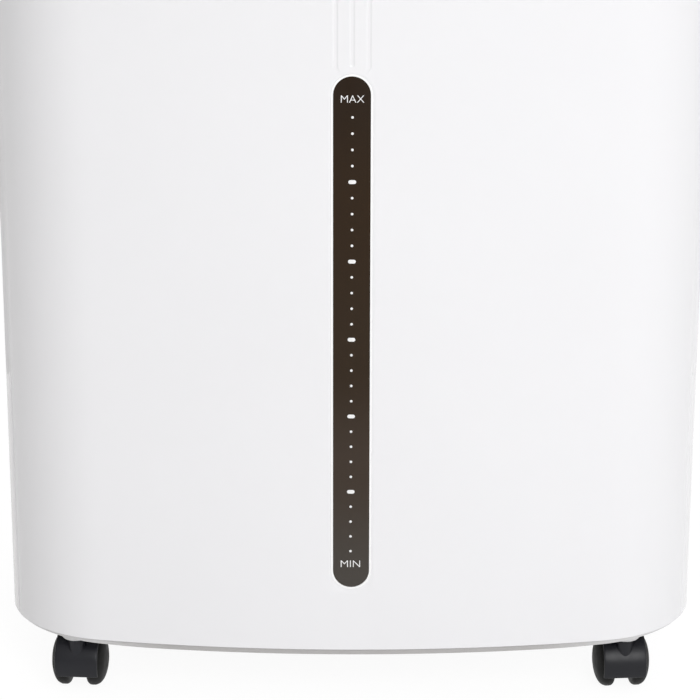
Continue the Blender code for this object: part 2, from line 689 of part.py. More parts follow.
# ---------------------------------------------------------------- castors
def castor_hood(name, x, y):
    """The hood over both wheels, its web, the axle's boss and the boss that holds the stem."""
    axle_y, axle_z = y + CASTOR_TRAIL, WHEEL_RADIUS

    def sector(radius, steps=12):
        angles = [HOOD_REACH * (2 * i / steps - 1) for i in range(steps + 1)]
        rim = [(axle_y + radius * math.sin(a), axle_z + radius * math.cos(a)) for a in angles]
        return [(axle_y, axle_z), *rim]

    clear = WHEEL_RADIUS + HOOD_GAP
    hood = prism(name, sector(clear + HOOD_THICKNESS), x - HOOD_HALF_WIDTH, x + HOOD_HALF_WIDTH, axis="X")
    boss_top = PAN_UNDERSIDE - BOSS_GAP
    inside = (x - HOOD_HALF_WIDTH - 5 * MM, x + HOOD_HALF_WIDTH + 5 * MM)
    cut(hood, rod("wheel_space", clear, *inside, axis="X", across=(axle_y, axle_z), segments=24))
    web = WHEEL_INNER - 0.6 * MM
    join(
        hood,
        prism("web", sector(clear + HOOD_THICKNESS / 2), x - web, x + web, axis="X"),
        rod("axle_boss", 5.5 * MM, x - web, x + web, axis="X", across=(axle_y, axle_z), segments=12),
        rod("boss", WHEEL_INNER - 0.2 * MM, axle_z + 6.3 * MM, boss_top, across=(x, y)),
    )
    cut(
        hood,
        rod("bore", STEM_RADIUS + RUN_GAP, axle_z + 2 * MM, boss_top + 5 * MM, across=(x, y), segments=12),
        rod("axle_bore", AXLE_RADIUS + RUN_GAP, *inside, axis="X", across=(axle_y, axle_z), segments=12),
    )
    return hood


def castor_wheel(name, side, x, axle_y):
    """A wheel with a blind bore, a rounded tread and an outer face that is half an ellipsoid."""
    bore = AXLE_RADIUS + RUN_GAP
    bore_end = WHEEL_OUTER - 1.6 * MM
    r, corner = WHEEL_RADIUS, TREAD_CORNER
    bevel = corner * (1 - math.sqrt(0.5))
    dome = [(WHEEL_OUTER - WHEEL_DOME * (1 - math.sqrt(1 - t * t)), r * t) for t in (1, 0.95, 0.8, 0.5, 0)]
    profile = [
        (bore_end, 0),
        (bore_end, bore),
        (WHEEL_INNER, bore),
        (WHEEL_INNER, r - corner),
        (WHEEL_INNER + bevel, r - bevel),
        (WHEEL_INNER + corner, r),
        *dome,
    ]
    placed = [(side * h, radius) for h, radius in profile]
    return turned(name, placed, (x, axle_y, WHEEL_RADIUS), axis="X")


def make_castor(corner, x, y, turn, look):
    """One castor. Its turning pieces rest turned by an angle; its stem stays square to the socket."""
    axle_y = y + CASTOR_TRAIL
    swivel = pivot(f"swivel_{corner}", (x, y, PAN_UNDERSIDE))
    place = Vector((x, y, PAN_UNDERSIDE))
    hood = castor_hood(f"castor_{corner}_hood", x, y)
    finish(hood, look["black"], origin=place, parent=swivel)
    half_axle = WHEEL_OUTER - 2.2 * MM
    axle = rod(
        f"castor_{corner}_axle",
        AXLE_RADIUS,
        x - half_axle,
        x + half_axle,
        axis="X",
        across=(axle_y, WHEEL_RADIUS),
        segments=12,
    )
    finish(axle, look["steel"], origin=(x, axle_y, WHEEL_RADIUS), parent=swivel)
    for side, word in ((-1, "left"), (1, "right")):
        wheel = castor_wheel(f"castor_{corner}_wheel_{word}", side, x, axle_y)
        finish(wheel, look["black"], origin=(x, axle_y, WHEEL_RADIUS), parent=swivel)
    swivel.rotation_euler.z = turn
    collar = (PAN_UNDERSIDE - BOSS_GAP + FIT_GAP, PAN_UNDERSIDE - FIT_GAP)
    profile = [
        (WHEEL_RADIUS + 3 * MM, 0),
        (WHEEL_RADIUS + 3 * MM, STEM_RADIUS),
        (collar[0], STEM_RADIUS),
        (collar[0], STEM_COLLAR_RADIUS),
        (collar[1], STEM_COLLAR_RADIUS),
        (collar[1], STEM_TOP_RADIUS),
        (STEM_TOP, STEM_TOP_RADIUS),
        (STEM_TOP, 0),
    ]
    stem = turned(f"castor_{corner}_stem", profile, (x, y, 0), segments=12)
    finish(stem, look["steel"], origin=place, parent=swivel)


# ---------------------------------------------------------------- water tank
def make_tank(look, lens_back):
    pull = pivot("tank_slide", (0, REAR_Y, TANK_BOTTOM))
    half, wall = TANK_HALF, TANK_WALL
    nose_front = lens_back + NOSE_GAP
    nose = NOSE_WIDTH / 2
    tank = block("water_tank", (-half, half), (TANK_FRONT, REAR_Y), (TANK_BOTTOM, TANK_TOP))
    join(tank, block("nose", (-nose, nose), (nose_front, TANK_FRONT + 5 * MM), (TANK_BOTTOM, TANK_TOP)))
    width, depth = PULL_POCKET_WIDTH, PULL_POCKET_DEPTH
    pocket_z = (PULL_POCKET_TOP - PULL_POCKET_HEIGHT, PULL_POCKET_TOP)
    cavity = block(
        "cavity",
        (-half + wall, half - wall),
        (TANK_FRONT + wall, REAR_Y - wall),
        (TANK_BOTTOM + wall, TANK_TOP + 5 * MM),
    )
    join(
        cavity,
        block(
            "nose_cavity",
            (-nose + wall, nose - wall),
            (nose_front + wall, TANK_FRONT + 6 * MM),
            (TANK_BOTTOM + wall, TANK_TOP + 5 * MM),
        ),
    )
    cut(
        cavity,
        block(
            "pocket_wall",
            (-width / 2 - wall, width / 2 + wall),
            (REAR_Y - depth - wall, REAR_Y + 5 * MM),
            (pocket_z[0] - wall, pocket_z[1] + wall),
        ),
    )
    cut(
        tank,
        cavity,
        block("pocket", (-width / 2, width / 2), (REAR_Y - depth, REAR_Y + 5 * MM), pocket_z),
    )
    hinge = Vector((0, REAR_Y - 6 * MM, PULL_POCKET_TOP - 7 * MM))
    pin = PULL_PIN_RADIUS
    pin_reach = width / 2 + 1.6 * MM
    for side in (-1, 1):
        hole = sorted((side * (width / 2 - 3 * MM), side * (pin_reach + FIT_GAP)))
        cut(tank, rod("pin_hole", pin + RUN_GAP, *hole, axis="X", across=(hinge.y, hinge.z), segments=12))
    finish(tank, look["tank"], parent=pull)

    grip = width / 2 - 1 * MM
    bar_y = (hinge.y - 4 * MM, hinge.y + 4 * MM)
    bar = block("tank_pull", (-grip, grip), bar_y, (hinge.z - 40 * MM, hinge.z + 4 * MM))
    reach = (hinge.y - 10 * MM, hinge.y + 10 * MM)
    gap_z = (hinge.z - 28 * MM, hinge.z - 5 * MM)
    cut(bar, block("finger_gap", (-grip + 10 * MM, grip - 10 * MM), reach, gap_z))
    join(bar, rod("pins", pin, -pin_reach, pin_reach, axis="X", across=(hinge.y, hinge.z), segments=12))
    finish(bar, look["grey"], origin=hinge, parent=pull)

    lid_z = (TANK_TOP + FIT_GAP, TANK_TOP + FIT_GAP + LID_THICKNESS)
    lid = block("tank_lid", (-half, half), (TANK_FRONT, REAR_Y - 1 * MM), lid_z)
    rim = wall + 0.4 * MM
    skirt = (-half + rim, half - rim), (TANK_FRONT + rim, REAR_Y - rim)
    join(lid, block("skirt", *skirt, (lid_z[0] - 4 * MM, lid_z[0] + 1 * MM)))
    inner = rim + 1.8 * MM
    hollow = (-half + inner, half - inner), (TANK_FRONT + inner, REAR_Y - inner)
    cut(lid, block("under", *hollow, (lid_z[0] - 10 * MM, lid_z[0])))
    cut(lid, rod("inlet", 20 * MM, lid_z[0] - 5 * MM, lid_z[1] + 5 * MM, across=DRIP_PLACE))
    float_x, float_y, float_z = FLOAT_PIVOT
    for side in (-1, 1):
        ear_x = sorted((float_x + side * 12.6 * MM, float_x + side * 15 * MM))
        ear = block("ear", ear_x, (float_y - 5 * MM, float_y + 5 * MM), (float_z - 5 * MM, lid_z[0] + 1 * MM))
        join(lid, ear)
    hole = (float_x - 20 * MM, float_x + 20 * MM)
    bore = FLOAT_PIN_RADIUS + RUN_GAP
    cut(lid, rod("float_holes", bore, *hole, axis="X", across=(float_y, float_z), segments=12))
    finish(lid, look["grey"], parent=pull)

    arm_y = (float_y - 42 * MM, float_y + 3 * MM)
    arm_z = (float_z - 3 * MM, float_z + 3 * MM)
    arm = block("float_arm", (float_x - 6 * MM, float_x + 6 * MM), arm_y, arm_z)
    body_x = (float_x - 20 * MM, float_x + 20 * MM)
    body_y = (float_y - 76 * MM, float_y - 40 * MM)
    pins = (float_x - 14.4 * MM, float_x + 14.4 * MM)
    join(
        arm,
        block("float", body_x, body_y, (float_z - 24 * MM, float_z + 2 * MM)),
        rod("pins", FLOAT_PIN_RADIUS, *pins, axis="X", across=(float_y, float_z), segments=12),
    )
    finish(arm, look["foam"], origin=FLOAT_PIVOT, parent=pull)


# ---------------------------------------------------------------- machine deck and refrigeration
def make_deck(look):
    deck = prism("machine_deck", cabinet_plan(DECK_INSET), DECK_BOTTOM, DECK_TOP)
    below = (DECK_BOTTOM - 5 * MM, DECK_TOP + 5 * MM)
    cut(deck, rod("drip_hole", 10 * MM, *below, across=DRIP_PLACE))
    cable = (HALF_WIDTH - 30 * MM, TANK_FRONT + 73 * MM)
    cut(deck, rod("cable_hole", 8 * MM, *below, across=cable, segments=12))
    finish(deck, look["steel"])

    low = DECK_TOP + FIT_GAP
    half = COIL_THICKNESS / 2 + TRAY_MARGIN
    span_x = (COIL_LEFT - 5 * MM, COIL_RIGHT + 5 * MM)
    span_y = (CONDENSER_Y - half, EVAPORATOR_Y + half)
    tray = block("drip_tray", span_x, span_y, (low, COIL_BOTTOM + 4 * MM))
    outlet = {"across": DRIP_PLACE, "segments": 12}
    rear_outlet = {"axis": "Y", "across": (SPOUT_X, SPOUT_Z)}
    join(
        tray,
        rod("outlet", TRAY_OUTLET_RADIUS, TANK_TOP + 5 * MM, low + 1 * MM, **outlet),
        rod("rear_outlet", SPOUT_RADIUS, span_y[1] - 1 * MM, REAR_Y, **rear_outlet),
    )
    inside = [(start + TRAY_WALL, end - TRAY_WALL) for start, end in (span_x, span_y)]
    bore = SPOUT_RADIUS - SPOUT_WALL
    cut(
        tray,
        block("inside", *inside, (low + TRAY_WALL, COIL_BOTTOM + 10 * MM)),
        rod("bore", TRAY_OUTLET_RADIUS - 2 * MM, TANK_TOP - 5 * MM, low + 5 * MM, **outlet),
        rod("rear_bore", bore, span_y[1] - 5 * MM, PROUD_Y + 5 * MM, segments=12, **rear_outlet),
    )
    rest_z = (low + TRAY_WALL / 2, COIL_BOTTOM - 1 * MM - FIT_GAP)
    for x in (COIL_LEFT + 3 * MM, COIL_RIGHT - 3 * MM):
        rest_y = (span_y[0] + 1 * MM, span_y[1] - 1 * MM)
        join(tray, block("coil_rest", (x - 2.5 * MM, x + 2.5 * MM), rest_y, rest_z))
    finish(tray, look["grey"])

    cap = rod("drain_cap", SPOUT_RADIUS + 2.5 * MM, REAR_Y + FIT_GAP, PROUD_Y, **rear_outlet)
    join(cap, rod("plug", bore - RUN_GAP, REAR_Y - 8 * MM, PROUD_Y - 1 * MM, segments=12, **rear_outlet))
    finish(cap, look["grey"], origin=(SPOUT_X, REAR_Y, SPOUT_Z))


def make_coil(name, y, look):
    """A fin pack drawn as a zigzag, with its end plates and return bends."""
    half = COIL_THICKNESS / 2
    pitch = COIL_WIDTH / COIL_FINS
    front = []
    for i in range(COIL_FINS):
        x = COIL_LEFT + pitch * i
        front += [(x, y - half), (x + pitch * 0.35, y - half), (x + pitch / 2, y - half + 3 * MM)]
    front.append((COIL_RIGHT, y - half))
    back = [(x, 2 * y - py) for x, py in reversed(front)]
    coil = prism(name, front + back, COIL_BOTTOM, COIL_TOP)
    for x in (COIL_LEFT, COIL_RIGHT):
        plate = (x - 1 * MM, x + 1 * MM), (y - half - 0.8 * MM, y + half + 0.8 * MM)
        join(coil, block("end_plate", *plate, (COIL_BOTTOM - 1 * MM, COIL_TOP + 1 * MM)))
    step = COIL_HEIGHT / 5
    for i in range(4):
        side, x = (-1, COIL_LEFT) if i % 2 else (1, COIL_RIGHT)
        z = COIL_BOTTOM + step * (i + 1)
        turns = [math.pi * k / 5 for k in range(6)]
        bend = [(x + side * (1 + 8 * math.sin(t)) * MM, y, z - step / 2 * math.cos(t)) for t in turns]
        bend = [(x - side * 4 * MM, y, bend[0][2]), *bend, (x - side * 4 * MM, y, bend[-1][2])]
        join(coil, solid_from(tube("bend", bend, PIPE_RADIUS, sides=1)))
    finish(coil, look["fins"])


def solid_from(curve_object):
    """A curve's tube as a mesh object, for a Boolean."""
    graph = bpy.context.evaluated_depsgraph_get()
    mesh = bpy.data.meshes.new_from_object(curve_object.evaluated_get(graph))
    bpy.data.objects.remove(curve_object, do_unlink=True)
    bm = bmesh.new()
    bm.from_mesh(mesh)
    bmesh.ops.remove_doubles(bm, verts=bm.verts, dist=1e-6)
    return object_from("tube", bm)


def make_refrigeration(look):
    make_coil("evaporator_coil", EVAPORATOR_Y, look)
    make_coil("condenser_coil", CONDENSER_Y, look)
    foot_z = DECK_TOP + FIT_GAP + GROMMET_HEIGHT
    r = COMPRESSOR_RADIUS
    base = foot_z + FIT_GAP
    top = base + COMPRESSOR_HEIGHT
    profile = [
        (base + 3 * MM, 0),
        (base + 3 * MM, r * 0.7),
        (base + 12 * MM, r),
        (top - 20 * MM, r),
        (top - 8 * MM, r * 0.86),
        (top, r * 0.45),
        (top, 0),
    ]
    compressor = turned("compressor", profile, (COMPRESSOR_X, COMPRESSOR_Y, 0), segments=24)
    ears = []
    for i in range(3):
        angle = math.radians(90 + 120 * i)
        reach = r - 2 * MM
        ears.append((COMPRESSOR_X + reach * math.cos(angle), COMPRESSOR_Y + reach * math.sin(angle)))
    stub = (COMPRESSOR_X, COMPRESSOR_Y)
    join(compressor, rod("plate", r * 0.8, base + 0.6 * MM, base + 5 * MM, across=stub, segments=18))
    for x, y in ears:
        join(compressor, rod("ear", 9 * MM, base, base + 2.4 * MM, across=(x, y), segments=12))
    join(compressor, rod("stub", 4.5 * MM, top - 2 * MM, top + 10 * MM, across=stub, segments=12))
    finish(compressor, look["shell"])
    for i, (x, y) in enumerate(ears):
        name = f"compressor_grommet_{i + 1}"
        grommet = rod(name, GROMMET_RADIUS, DECK_TOP + FIT_GAP, foot_z, across=(x, y), segments=12)
        finish(grommet, look["rubber"])

    acc_y = COMPRESSOR_Y - COMPRESSOR_RADIUS - ACCUMULATOR_RADIUS - 0.5 * MM
    acc_low = base + 22 * MM
    acc_top = acc_low + ACCUMULATOR_HEIGHT
    ra = ACCUMULATOR_RADIUS
    profile = [
        (acc_low, 0),
        (acc_low, ra * 0.5),
        (acc_low + 7 * MM, ra),
        (acc_top - 7 * MM, ra),
        (acc_top, ra * 0.4),
        (acc_top, 0),
    ]
    finish(turned("accumulator", profile, (COMPRESSOR_X, acc_y, 0), segments=16), look["shell"])

    pipe_end = COIL_RIGHT + 1 * MM + 2 * FIT_GAP
    high = COIL_TOP - 10 * MM
    beside = COMPRESSOR_X - 14 * MM
    suction = smooth_path(
        [
            (pipe_end, EVAPORATOR_Y, high),
            (COIL_RIGHT + 9 * MM, EVAPORATOR_Y, high),
            (beside - 14 * MM, EVAPORATOR_Y - 6 * MM, high),
            (beside, COMPRESSOR_Y + 36 * MM, high - 2 * MM),
            (beside, COMPRESSOR_Y - 18 * MM, high - 5 * MM),
            (COMPRESSOR_X - 8 * MM, acc_y + 18 * MM, acc_top + 38 * MM),
            (COMPRESSOR_X - 1 * MM, acc_y + 1 * MM, acc_top + 20 * MM),
            (COMPRESSOR_X, acc_y, acc_top + FIT_GAP),
        ],
        3,
    )
    finish(tube("suction_pipe", suction, PIPE_RADIUS), look["copper"])
    stub_top = top + 10 * MM + FIT_GAP
    discharge = smooth_path(
        [
            (*stub, stub_top),
            (stub[0], stub[1] + 1 * MM, stub_top + 8 * MM),
            (stub[0] - 4 * MM, stub[1] + 12 * MM, stub_top + 13 * MM),
            (stub[0] - 20 * MM, CONDENSER_Y - 8 * MM, stub_top + 8 * MM),
            (COIL_RIGHT + 15 * MM, CONDENSER_Y, COIL_TOP - 22 * MM),
            (COIL_RIGHT + 8 * MM, CONDENSER_Y, COIL_TOP - 22 * MM),
            (pipe_end, CONDENSER_Y, COIL_TOP - 22 * MM),
        ],
        3,
    )
    finish(tube("discharge_pipe", discharge, PIPE_RADIUS), look["copper"])
    low = COIL_BOTTOM + 12 * MM
    capillary = smooth_path(
        [
            (pipe_end, CONDENSER_Y, low),
            (COIL_RIGHT + 6 * MM, CONDENSER_Y, low),
            (COIL_RIGHT + 9 * MM, CONDENSER_Y + 8 * MM, low + 4 * MM),
            (COIL_RIGHT + 9 * MM, EVAPORATOR_Y - 8 * MM, low + 4 * MM),
            (COIL_RIGHT + 6 * MM, EVAPORATOR_Y, low),
            (pipe_end, EVAPORATOR_Y, low),
        ],
        3,
    )
    finish(tube("capillary_tube", capillary, CAPILLARY_RADIUS), look["copper"])


# ---------------------------------------------------------------- fan
def scroll_outline(inset):
    """The spiral casing and its flared outlet, in x and z. The spiral grows round from the tongue."""
    steps = 18
    points = []
    for i in range(steps + 1):
        angle = SCROLL_TONGUE + (2 * math.pi - SCROLL_TONGUE) * i / steps
        radius = SCROLL_SMALL + (SCROLL_LARGE - SCROLL_SMALL) * i / steps - inset
        points.append((FAN_X + radius * math.cos(angle), FAN_Z + radius * math.sin(angle)))
    top = THROAT_BOTTOM - 0.5 * MM + (5 * MM if inset else 0)
    wide = OUTLET_HALF_WIDTH + SCROLL_WALL - inset
    tip_angle = SCROLL_TONGUE - math.radians(4)
    tip = SCROLL_SMALL + 2 * MM + inset
    return points + [
        (wide, THROAT_BOTTOM - 30 * MM),
        (wide, top),
        (-wide, top),
        (-wide, THROAT_BOTTOM - 10 * MM + inset),
        (FAN_X + tip * math.cos(tip_angle), FAN_Z + tip * math.sin(tip_angle)),
    ]


def make_fan(look):
    scroll = prism("fan_scroll", scroll_outline(0), SCROLL_FRONT, SCROLL_REAR, axis="Y")
    inside = (SCROLL_FRONT + SCROLL_WALL, SCROLL_REAR - SCROLL_WALL)
    foot_y = (SCROLL_FRONT + 1 * MM, SCROLL_REAR - 1 * MM)
    foot_z = (DECK_TOP + FIT_GAP, FAN_Z - 80 * MM)
    join(scroll, block("foot", (FAN_X - 40 * MM, FAN_X + 40 * MM), foot_y, foot_z))
    middle = {"axis": "Y", "across": (FAN_X, FAN_Z)}
    cut(scroll, prism("inside", scroll_outline(SCROLL_WALL), *inside, axis="Y"))
    cut(
        scroll,
        rod("inlet", 50 * MM, SCROLL_REAR - 8 * MM, SCROLL_REAR + 8 * MM, **middle),
        rod("shaft_hole", 8 * MM, SCROLL_FRONT - 8 * MM, SCROLL_FRONT + 8 * MM, **middle),
    )
    finish(scroll, look["black"])

    rear = SCROLL_FRONT - FIT_GAP
    front = rear - MOTOR_LENGTH
    r = MOTOR_RADIUS
    shaft = SHAFT_RADIUS
    profile = [
        (front, 0),
        (front, r * 0.55),
        (front + 4 * MM, r),
        (rear - 4 * MM, r),
        (rear - 4 * MM, r + 8 * MM),
        (rear, r + 8 * MM),
        (rear, shaft),
        (rear + 34 * MM, shaft),
        (rear + 34 * MM, 0),
    ]
    finish(turned("fan_motor", profile, (FAN_X, 0, FAN_Z), axis="Y", segments=20), look["steel"])

    start = SCROLL_FRONT + SCROLL_WALL + 4 * MM
    end = start + FAN_WIDTH
    centre = (FAN_X, 0, FAN_Z)
    disc = [(start, 0), (start, FAN_RADIUS), (start + 2 * MM, FAN_RADIUS), (start + 2 * MM, 0)]
    wheel = turned("fan_impeller", disc, centre, axis="Y", segments=20)
    hub = (start + 0.8 * MM, start + 18 * MM)
    join(wheel, rod("hub", 10 * MM, *hub, segments=12, **middle))
    blade = None
    for i in range(FAN_BLADES):
        angle = 2 * math.pi * (i + 0.25) / FAN_BLADES
        corners = []
        for radius, swing in ((46, 0), (FAN_RADIUS / MM - 1, 0.16), (FAN_RADIUS / MM - 1, 0.2), (46, 0.06)):
            turn = angle + swing
            corners.append((FAN_X + radius * MM * math.cos(turn), FAN_Z + radius * MM * math.sin(turn)))
        piece = prism("blade", corners, start + 1 * MM, end - 1 * MM, axis="Y")
        if blade is None:
            blade = piece
            continue
        merged = bmesh.new()
        merged.from_mesh(blade.data)
        merged.from_mesh(piece.data)
        merged.to_mesh(blade.data)
        merged.free()
        bpy.data.objects.remove(piece, do_unlink=True)
    join(wheel, blade)
    ring = [(end - 3 * MM, 45 * MM), (end - 3 * MM, FAN_RADIUS), (end, FAN_RADIUS), (end, 45 * MM)]
    join(wheel, ring_solid("ring", ring, centre))
    bore = shaft + RUN_GAP
    cut(wheel, rod("bore", bore, start - 5 * MM, start + 25 * MM, segments=12, **middle))
    finish(wheel, look["grey"], origin=(FAN_X, start, FAN_Z))


def ring_solid(name, profile, centre):
    """A turned ring about Y: a closed profile that doesn't reach the axis."""
    bm = bmesh.new()
    segments = 20
    rows = []
    for height, radius in profile:
        angles = [2 * math.pi * i / segments for i in range(segments)]
        points = [(radius * math.sin(a), height, radius * math.cos(a)) for a in angles]
        rows.append([bm.verts.new(Vector(p) + Vector(centre)) for p in points])
    for low, high in zip(rows, rows[1:] + rows[:1]):
        for i in range(segments):
            j = (i + 1) % segments
            bm.faces.new((low[i], low[j], high[j], high[i]))
    return object_from(name, bm)


# ---------------------------------------------------------------- top controls and flap
def make_controls(look):
    top = COVER_TOP
    under = top - FASCIA_THICKNESS
    size = (-FASCIA_HALF_WIDTH, FASCIA_HALF_WIDTH), (FASCIA_FRONT, FASCIA_REAR)
    fascia = block("control_fascia", *size, (under, top))
    middle = (len(BUTTON_NAMES) - 1) / 2
    board_z = (top - 17 * MM, top - 15.4 * MM)
    ledge_under = under - FIT_GAP - 2.5 * MM
    reach = 2 * MM
    board = block(
        "control_board",
        (-FASCIA_HALF_WIDTH - reach, FASCIA_HALF_WIDTH + reach),
        (FASCIA_FRONT, FASCIA_REAR),
        board_z,
    )
    for x in (-FASCIA_HALF_WIDTH, FASCIA_HALF_WIDTH):
        for y in (FASCIA_FRONT + 10 * MM, FASCIA_REAR - 10 * MM):
            post_top = ledge_under - FIT_GAP
            join(board, rod("post", 1.9 * MM, board_z[0] + 0.5 * MM, post_top, across=(x, y), segments=8))
    for i, word in enumerate(BUTTON_NAMES):
        x = (i - middle) * BUTTON_PITCH
        cut(fascia, rod("hole", BUTTON_RADIUS + 0.4 * MM, under - 5 * MM, top + 5 * MM, across=(x, BUTTON_Y)))
        flange_top = under - FIT_GAP
        profile = [
            (board_z[1] + BUTTON_TRAVEL + FIT_GAP, 0),
            (board_z[1] + BUTTON_TRAVEL + FIT_GAP, 2 * MM),
            (flange_top - 1.2 * MM, 2 * MM),
            (flange_top - 1.2 * MM, BUTTON_RADIUS + 1.6 * MM),
            (flange_top, BUTTON_RADIUS + 1.6 * MM),
            (flange_top, BUTTON_RADIUS),
            (BUTTON_TOP, BUTTON_RADIUS),
            (BUTTON_TOP, 0),
        ]
        button = turned(f"{word}_button", profile, (x, BUTTON_Y, 0), segments=16)
        finish(button, look["button"], origin=(x, BUTTON_Y, flange_top))
    finish(fascia, look["fascia"])
    finish(board, look["board"])


def make_flap(look):
    half = OUTLET_HALF_WIDTH - FLAP_GAP
    hinge = FLAP_HINGE
    flap_y = (OUTLET_FRONT + 0.7 * MM, hinge.y + 2 * MM)
    flap = block("outlet_flap", (-half, half), flap_y, (COVER_TOP - FLAP_THICKNESS, COVER_TOP))
    join(
        flap,
        rod("barrel", 3 * MM, -half, half, axis="X", across=(hinge.y, hinge.z), segments=12),
        rod(
            "pins",
            FLAP_PIN_RADIUS,
            -OUTLET_HALF_WIDTH - 2 * MM,
            OUTLET_HALF_WIDTH + 2 * MM,
            axis="X",
            across=(hinge.y, hinge.z),
            segments=12,
        ),
    )
    finish(flap, look["white"], origin=hinge)


# ---------------------------------------------------------------- filter, gland, switch, electronics
def make_filter(look):
    slide = pivot("filter_slide", (0, REAR_Y, INTAKE_LOW))
    half = INTAKE_WIDTH / 2 - FILTER_GAP
    low, high = INTAKE_LOW + FILTER_GAP, INTAKE_HIGH - FILTER_GAP
    inner = REAR_Y - FILTER_FRAME_DEPTH
    frame = block("filter_frame", (-half, half), (inner, REAR_Y), (low, high))
    border = INTAKE_BORDER
    pitch = (high - low - 2 * border) / INTAKE_SLOTS
    for i in range(INTAKE_SLOTS):
        z = low + border + pitch * i
        slot_z = (z + INTAKE_BAR / 2, z + pitch - INTAKE_BAR / 2)
        cut(frame, block("slot", (-half + border, half - border), (inner - 5 * MM, REAR_Y + 5 * MM), slot_z))
    finish(frame, look["white"], parent=slide)
    sheet_y = (inner - 2.5 * MM, inner - FIT_GAP)
    sheet = block("filter_mesh", (-half + 2 * MM, half - 2 * MM), sheet_y, (low + 2 * MM, high - 2 * MM))
    finish(sheet, look["mesh"], parent=slide)


def make_small_parts(look):
    gland = turned(
        "cord_gland",
        [
            (REAR_Y - WALL - 4 * MM, CORD_RADIUS),
            (REAR_Y - WALL - 4 * MM, GLAND_RADIUS),
            (REAR_Y + FIT_GAP, GLAND_RADIUS),
            (REAR_Y + FIT_GAP, GLAND_RADIUS + 3 * MM),
            (PROUD_Y, GLAND_RADIUS + 1.5 * MM),
            (PROUD_Y, CORD_RADIUS),
            (REAR_Y - WALL - 4 * MM, CORD_RADIUS),
        ],
        (GLAND_X, 0, GLAND_Z),
        axis="Y",
    )
    weld(gland)
    finish(gland, look["black"])
    box_x = (9 * MM - HALF_WIDTH, 53 * MM - HALF_WIDTH)
    box_z = (DECK_TOP + FIT_GAP, DECK_TOP + 85 * MM)
    finish(block("control_box", box_x, (TANK_FRONT + 48 * MM, TANK_FRONT + 128 * MM), box_z), look["grey"])
    switch_y = (FLOAT_PIVOT.y - 72 * MM, FLOAT_PIVOT.y - 44 * MM)
    switch_z = (DECK_BOTTOM - 6 * MM, DECK_BOTTOM - FIT_GAP)
    finish(block("level_switch", (FLOAT_X - 12 * MM, FLOAT_X + 12 * MM), switch_y, switch_z), look["black"])


def weld(obj):
    """Merges the first and last rings of a turned ring."""
    bm = bmesh.new()
    bm.from_mesh(obj.data)
    bmesh.ops.remove_doubles(bm, verts=bm.verts, dist=1e-6)
    bmesh.ops.recalc_face_normals(bm, faces=bm.faces)
    bm.to_mesh(obj.data)
    bm.free()


# ---------------------------------------------------------------- assembly
def main():
    clear_scene()
    look = make_materials()
    make_base_pan(look)
    make_front_panel(look)
    make_rear_housing(look)
    make_top_cover(look)
    lens_back = make_lens(look)
    for corner, x, y, turn in (
        ("front_left", -CASTOR_X, CASTOR_FRONT_Y, -CASTOR_TOE),
        ("front_right", CASTOR_X, CASTOR_FRONT_Y, CASTOR_TOE),
        ("rear_left", -CASTOR_X, CASTOR_REAR_Y, 0),
        ("rear_right", CASTOR_X, CASTOR_REAR_Y, 0),
    ):
        make_castor(corner, x, y, turn, look)
    make_tank(look, lens_back)
    make_deck(look)
    make_refrigeration(look)
    make_fan(look)
    make_controls(look)
    make_flap(look)
    make_filter(look)
    make_small_parts(look)


main()
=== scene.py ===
"""The looks of the dehumidifier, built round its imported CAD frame.

Every new piece is a surface worked out with numpy: a grid over two parameters, or a profile turned
or carried along the cabinet's plan. Lengths are metres, +Z is up and the front faces -Y.
"""

import json
import math

import bmesh
import bpy
import numpy as np
from mathutils import Matrix, Vector


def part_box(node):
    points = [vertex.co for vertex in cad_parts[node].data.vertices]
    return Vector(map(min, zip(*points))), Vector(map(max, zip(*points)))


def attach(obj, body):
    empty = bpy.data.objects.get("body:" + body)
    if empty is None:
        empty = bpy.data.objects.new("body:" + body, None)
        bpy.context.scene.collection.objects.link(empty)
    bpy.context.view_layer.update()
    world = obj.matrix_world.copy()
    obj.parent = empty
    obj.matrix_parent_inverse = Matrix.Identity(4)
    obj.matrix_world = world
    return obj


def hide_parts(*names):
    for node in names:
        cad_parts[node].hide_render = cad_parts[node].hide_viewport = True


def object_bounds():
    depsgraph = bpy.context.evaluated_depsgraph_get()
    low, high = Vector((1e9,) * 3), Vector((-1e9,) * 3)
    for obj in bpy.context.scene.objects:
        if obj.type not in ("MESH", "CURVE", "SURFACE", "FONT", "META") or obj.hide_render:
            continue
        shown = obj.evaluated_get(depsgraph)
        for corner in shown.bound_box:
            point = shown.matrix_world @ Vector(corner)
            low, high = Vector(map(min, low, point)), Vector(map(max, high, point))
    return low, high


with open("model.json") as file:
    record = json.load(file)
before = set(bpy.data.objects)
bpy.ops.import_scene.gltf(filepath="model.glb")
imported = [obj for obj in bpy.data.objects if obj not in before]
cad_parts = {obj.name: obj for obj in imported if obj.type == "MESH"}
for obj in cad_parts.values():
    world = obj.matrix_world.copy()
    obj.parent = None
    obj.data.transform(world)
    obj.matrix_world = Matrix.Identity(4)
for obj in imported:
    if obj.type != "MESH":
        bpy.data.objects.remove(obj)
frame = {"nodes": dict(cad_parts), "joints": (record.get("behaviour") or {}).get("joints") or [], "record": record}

CAD_BOX = [list(corner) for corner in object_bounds()]
MM = 0.001

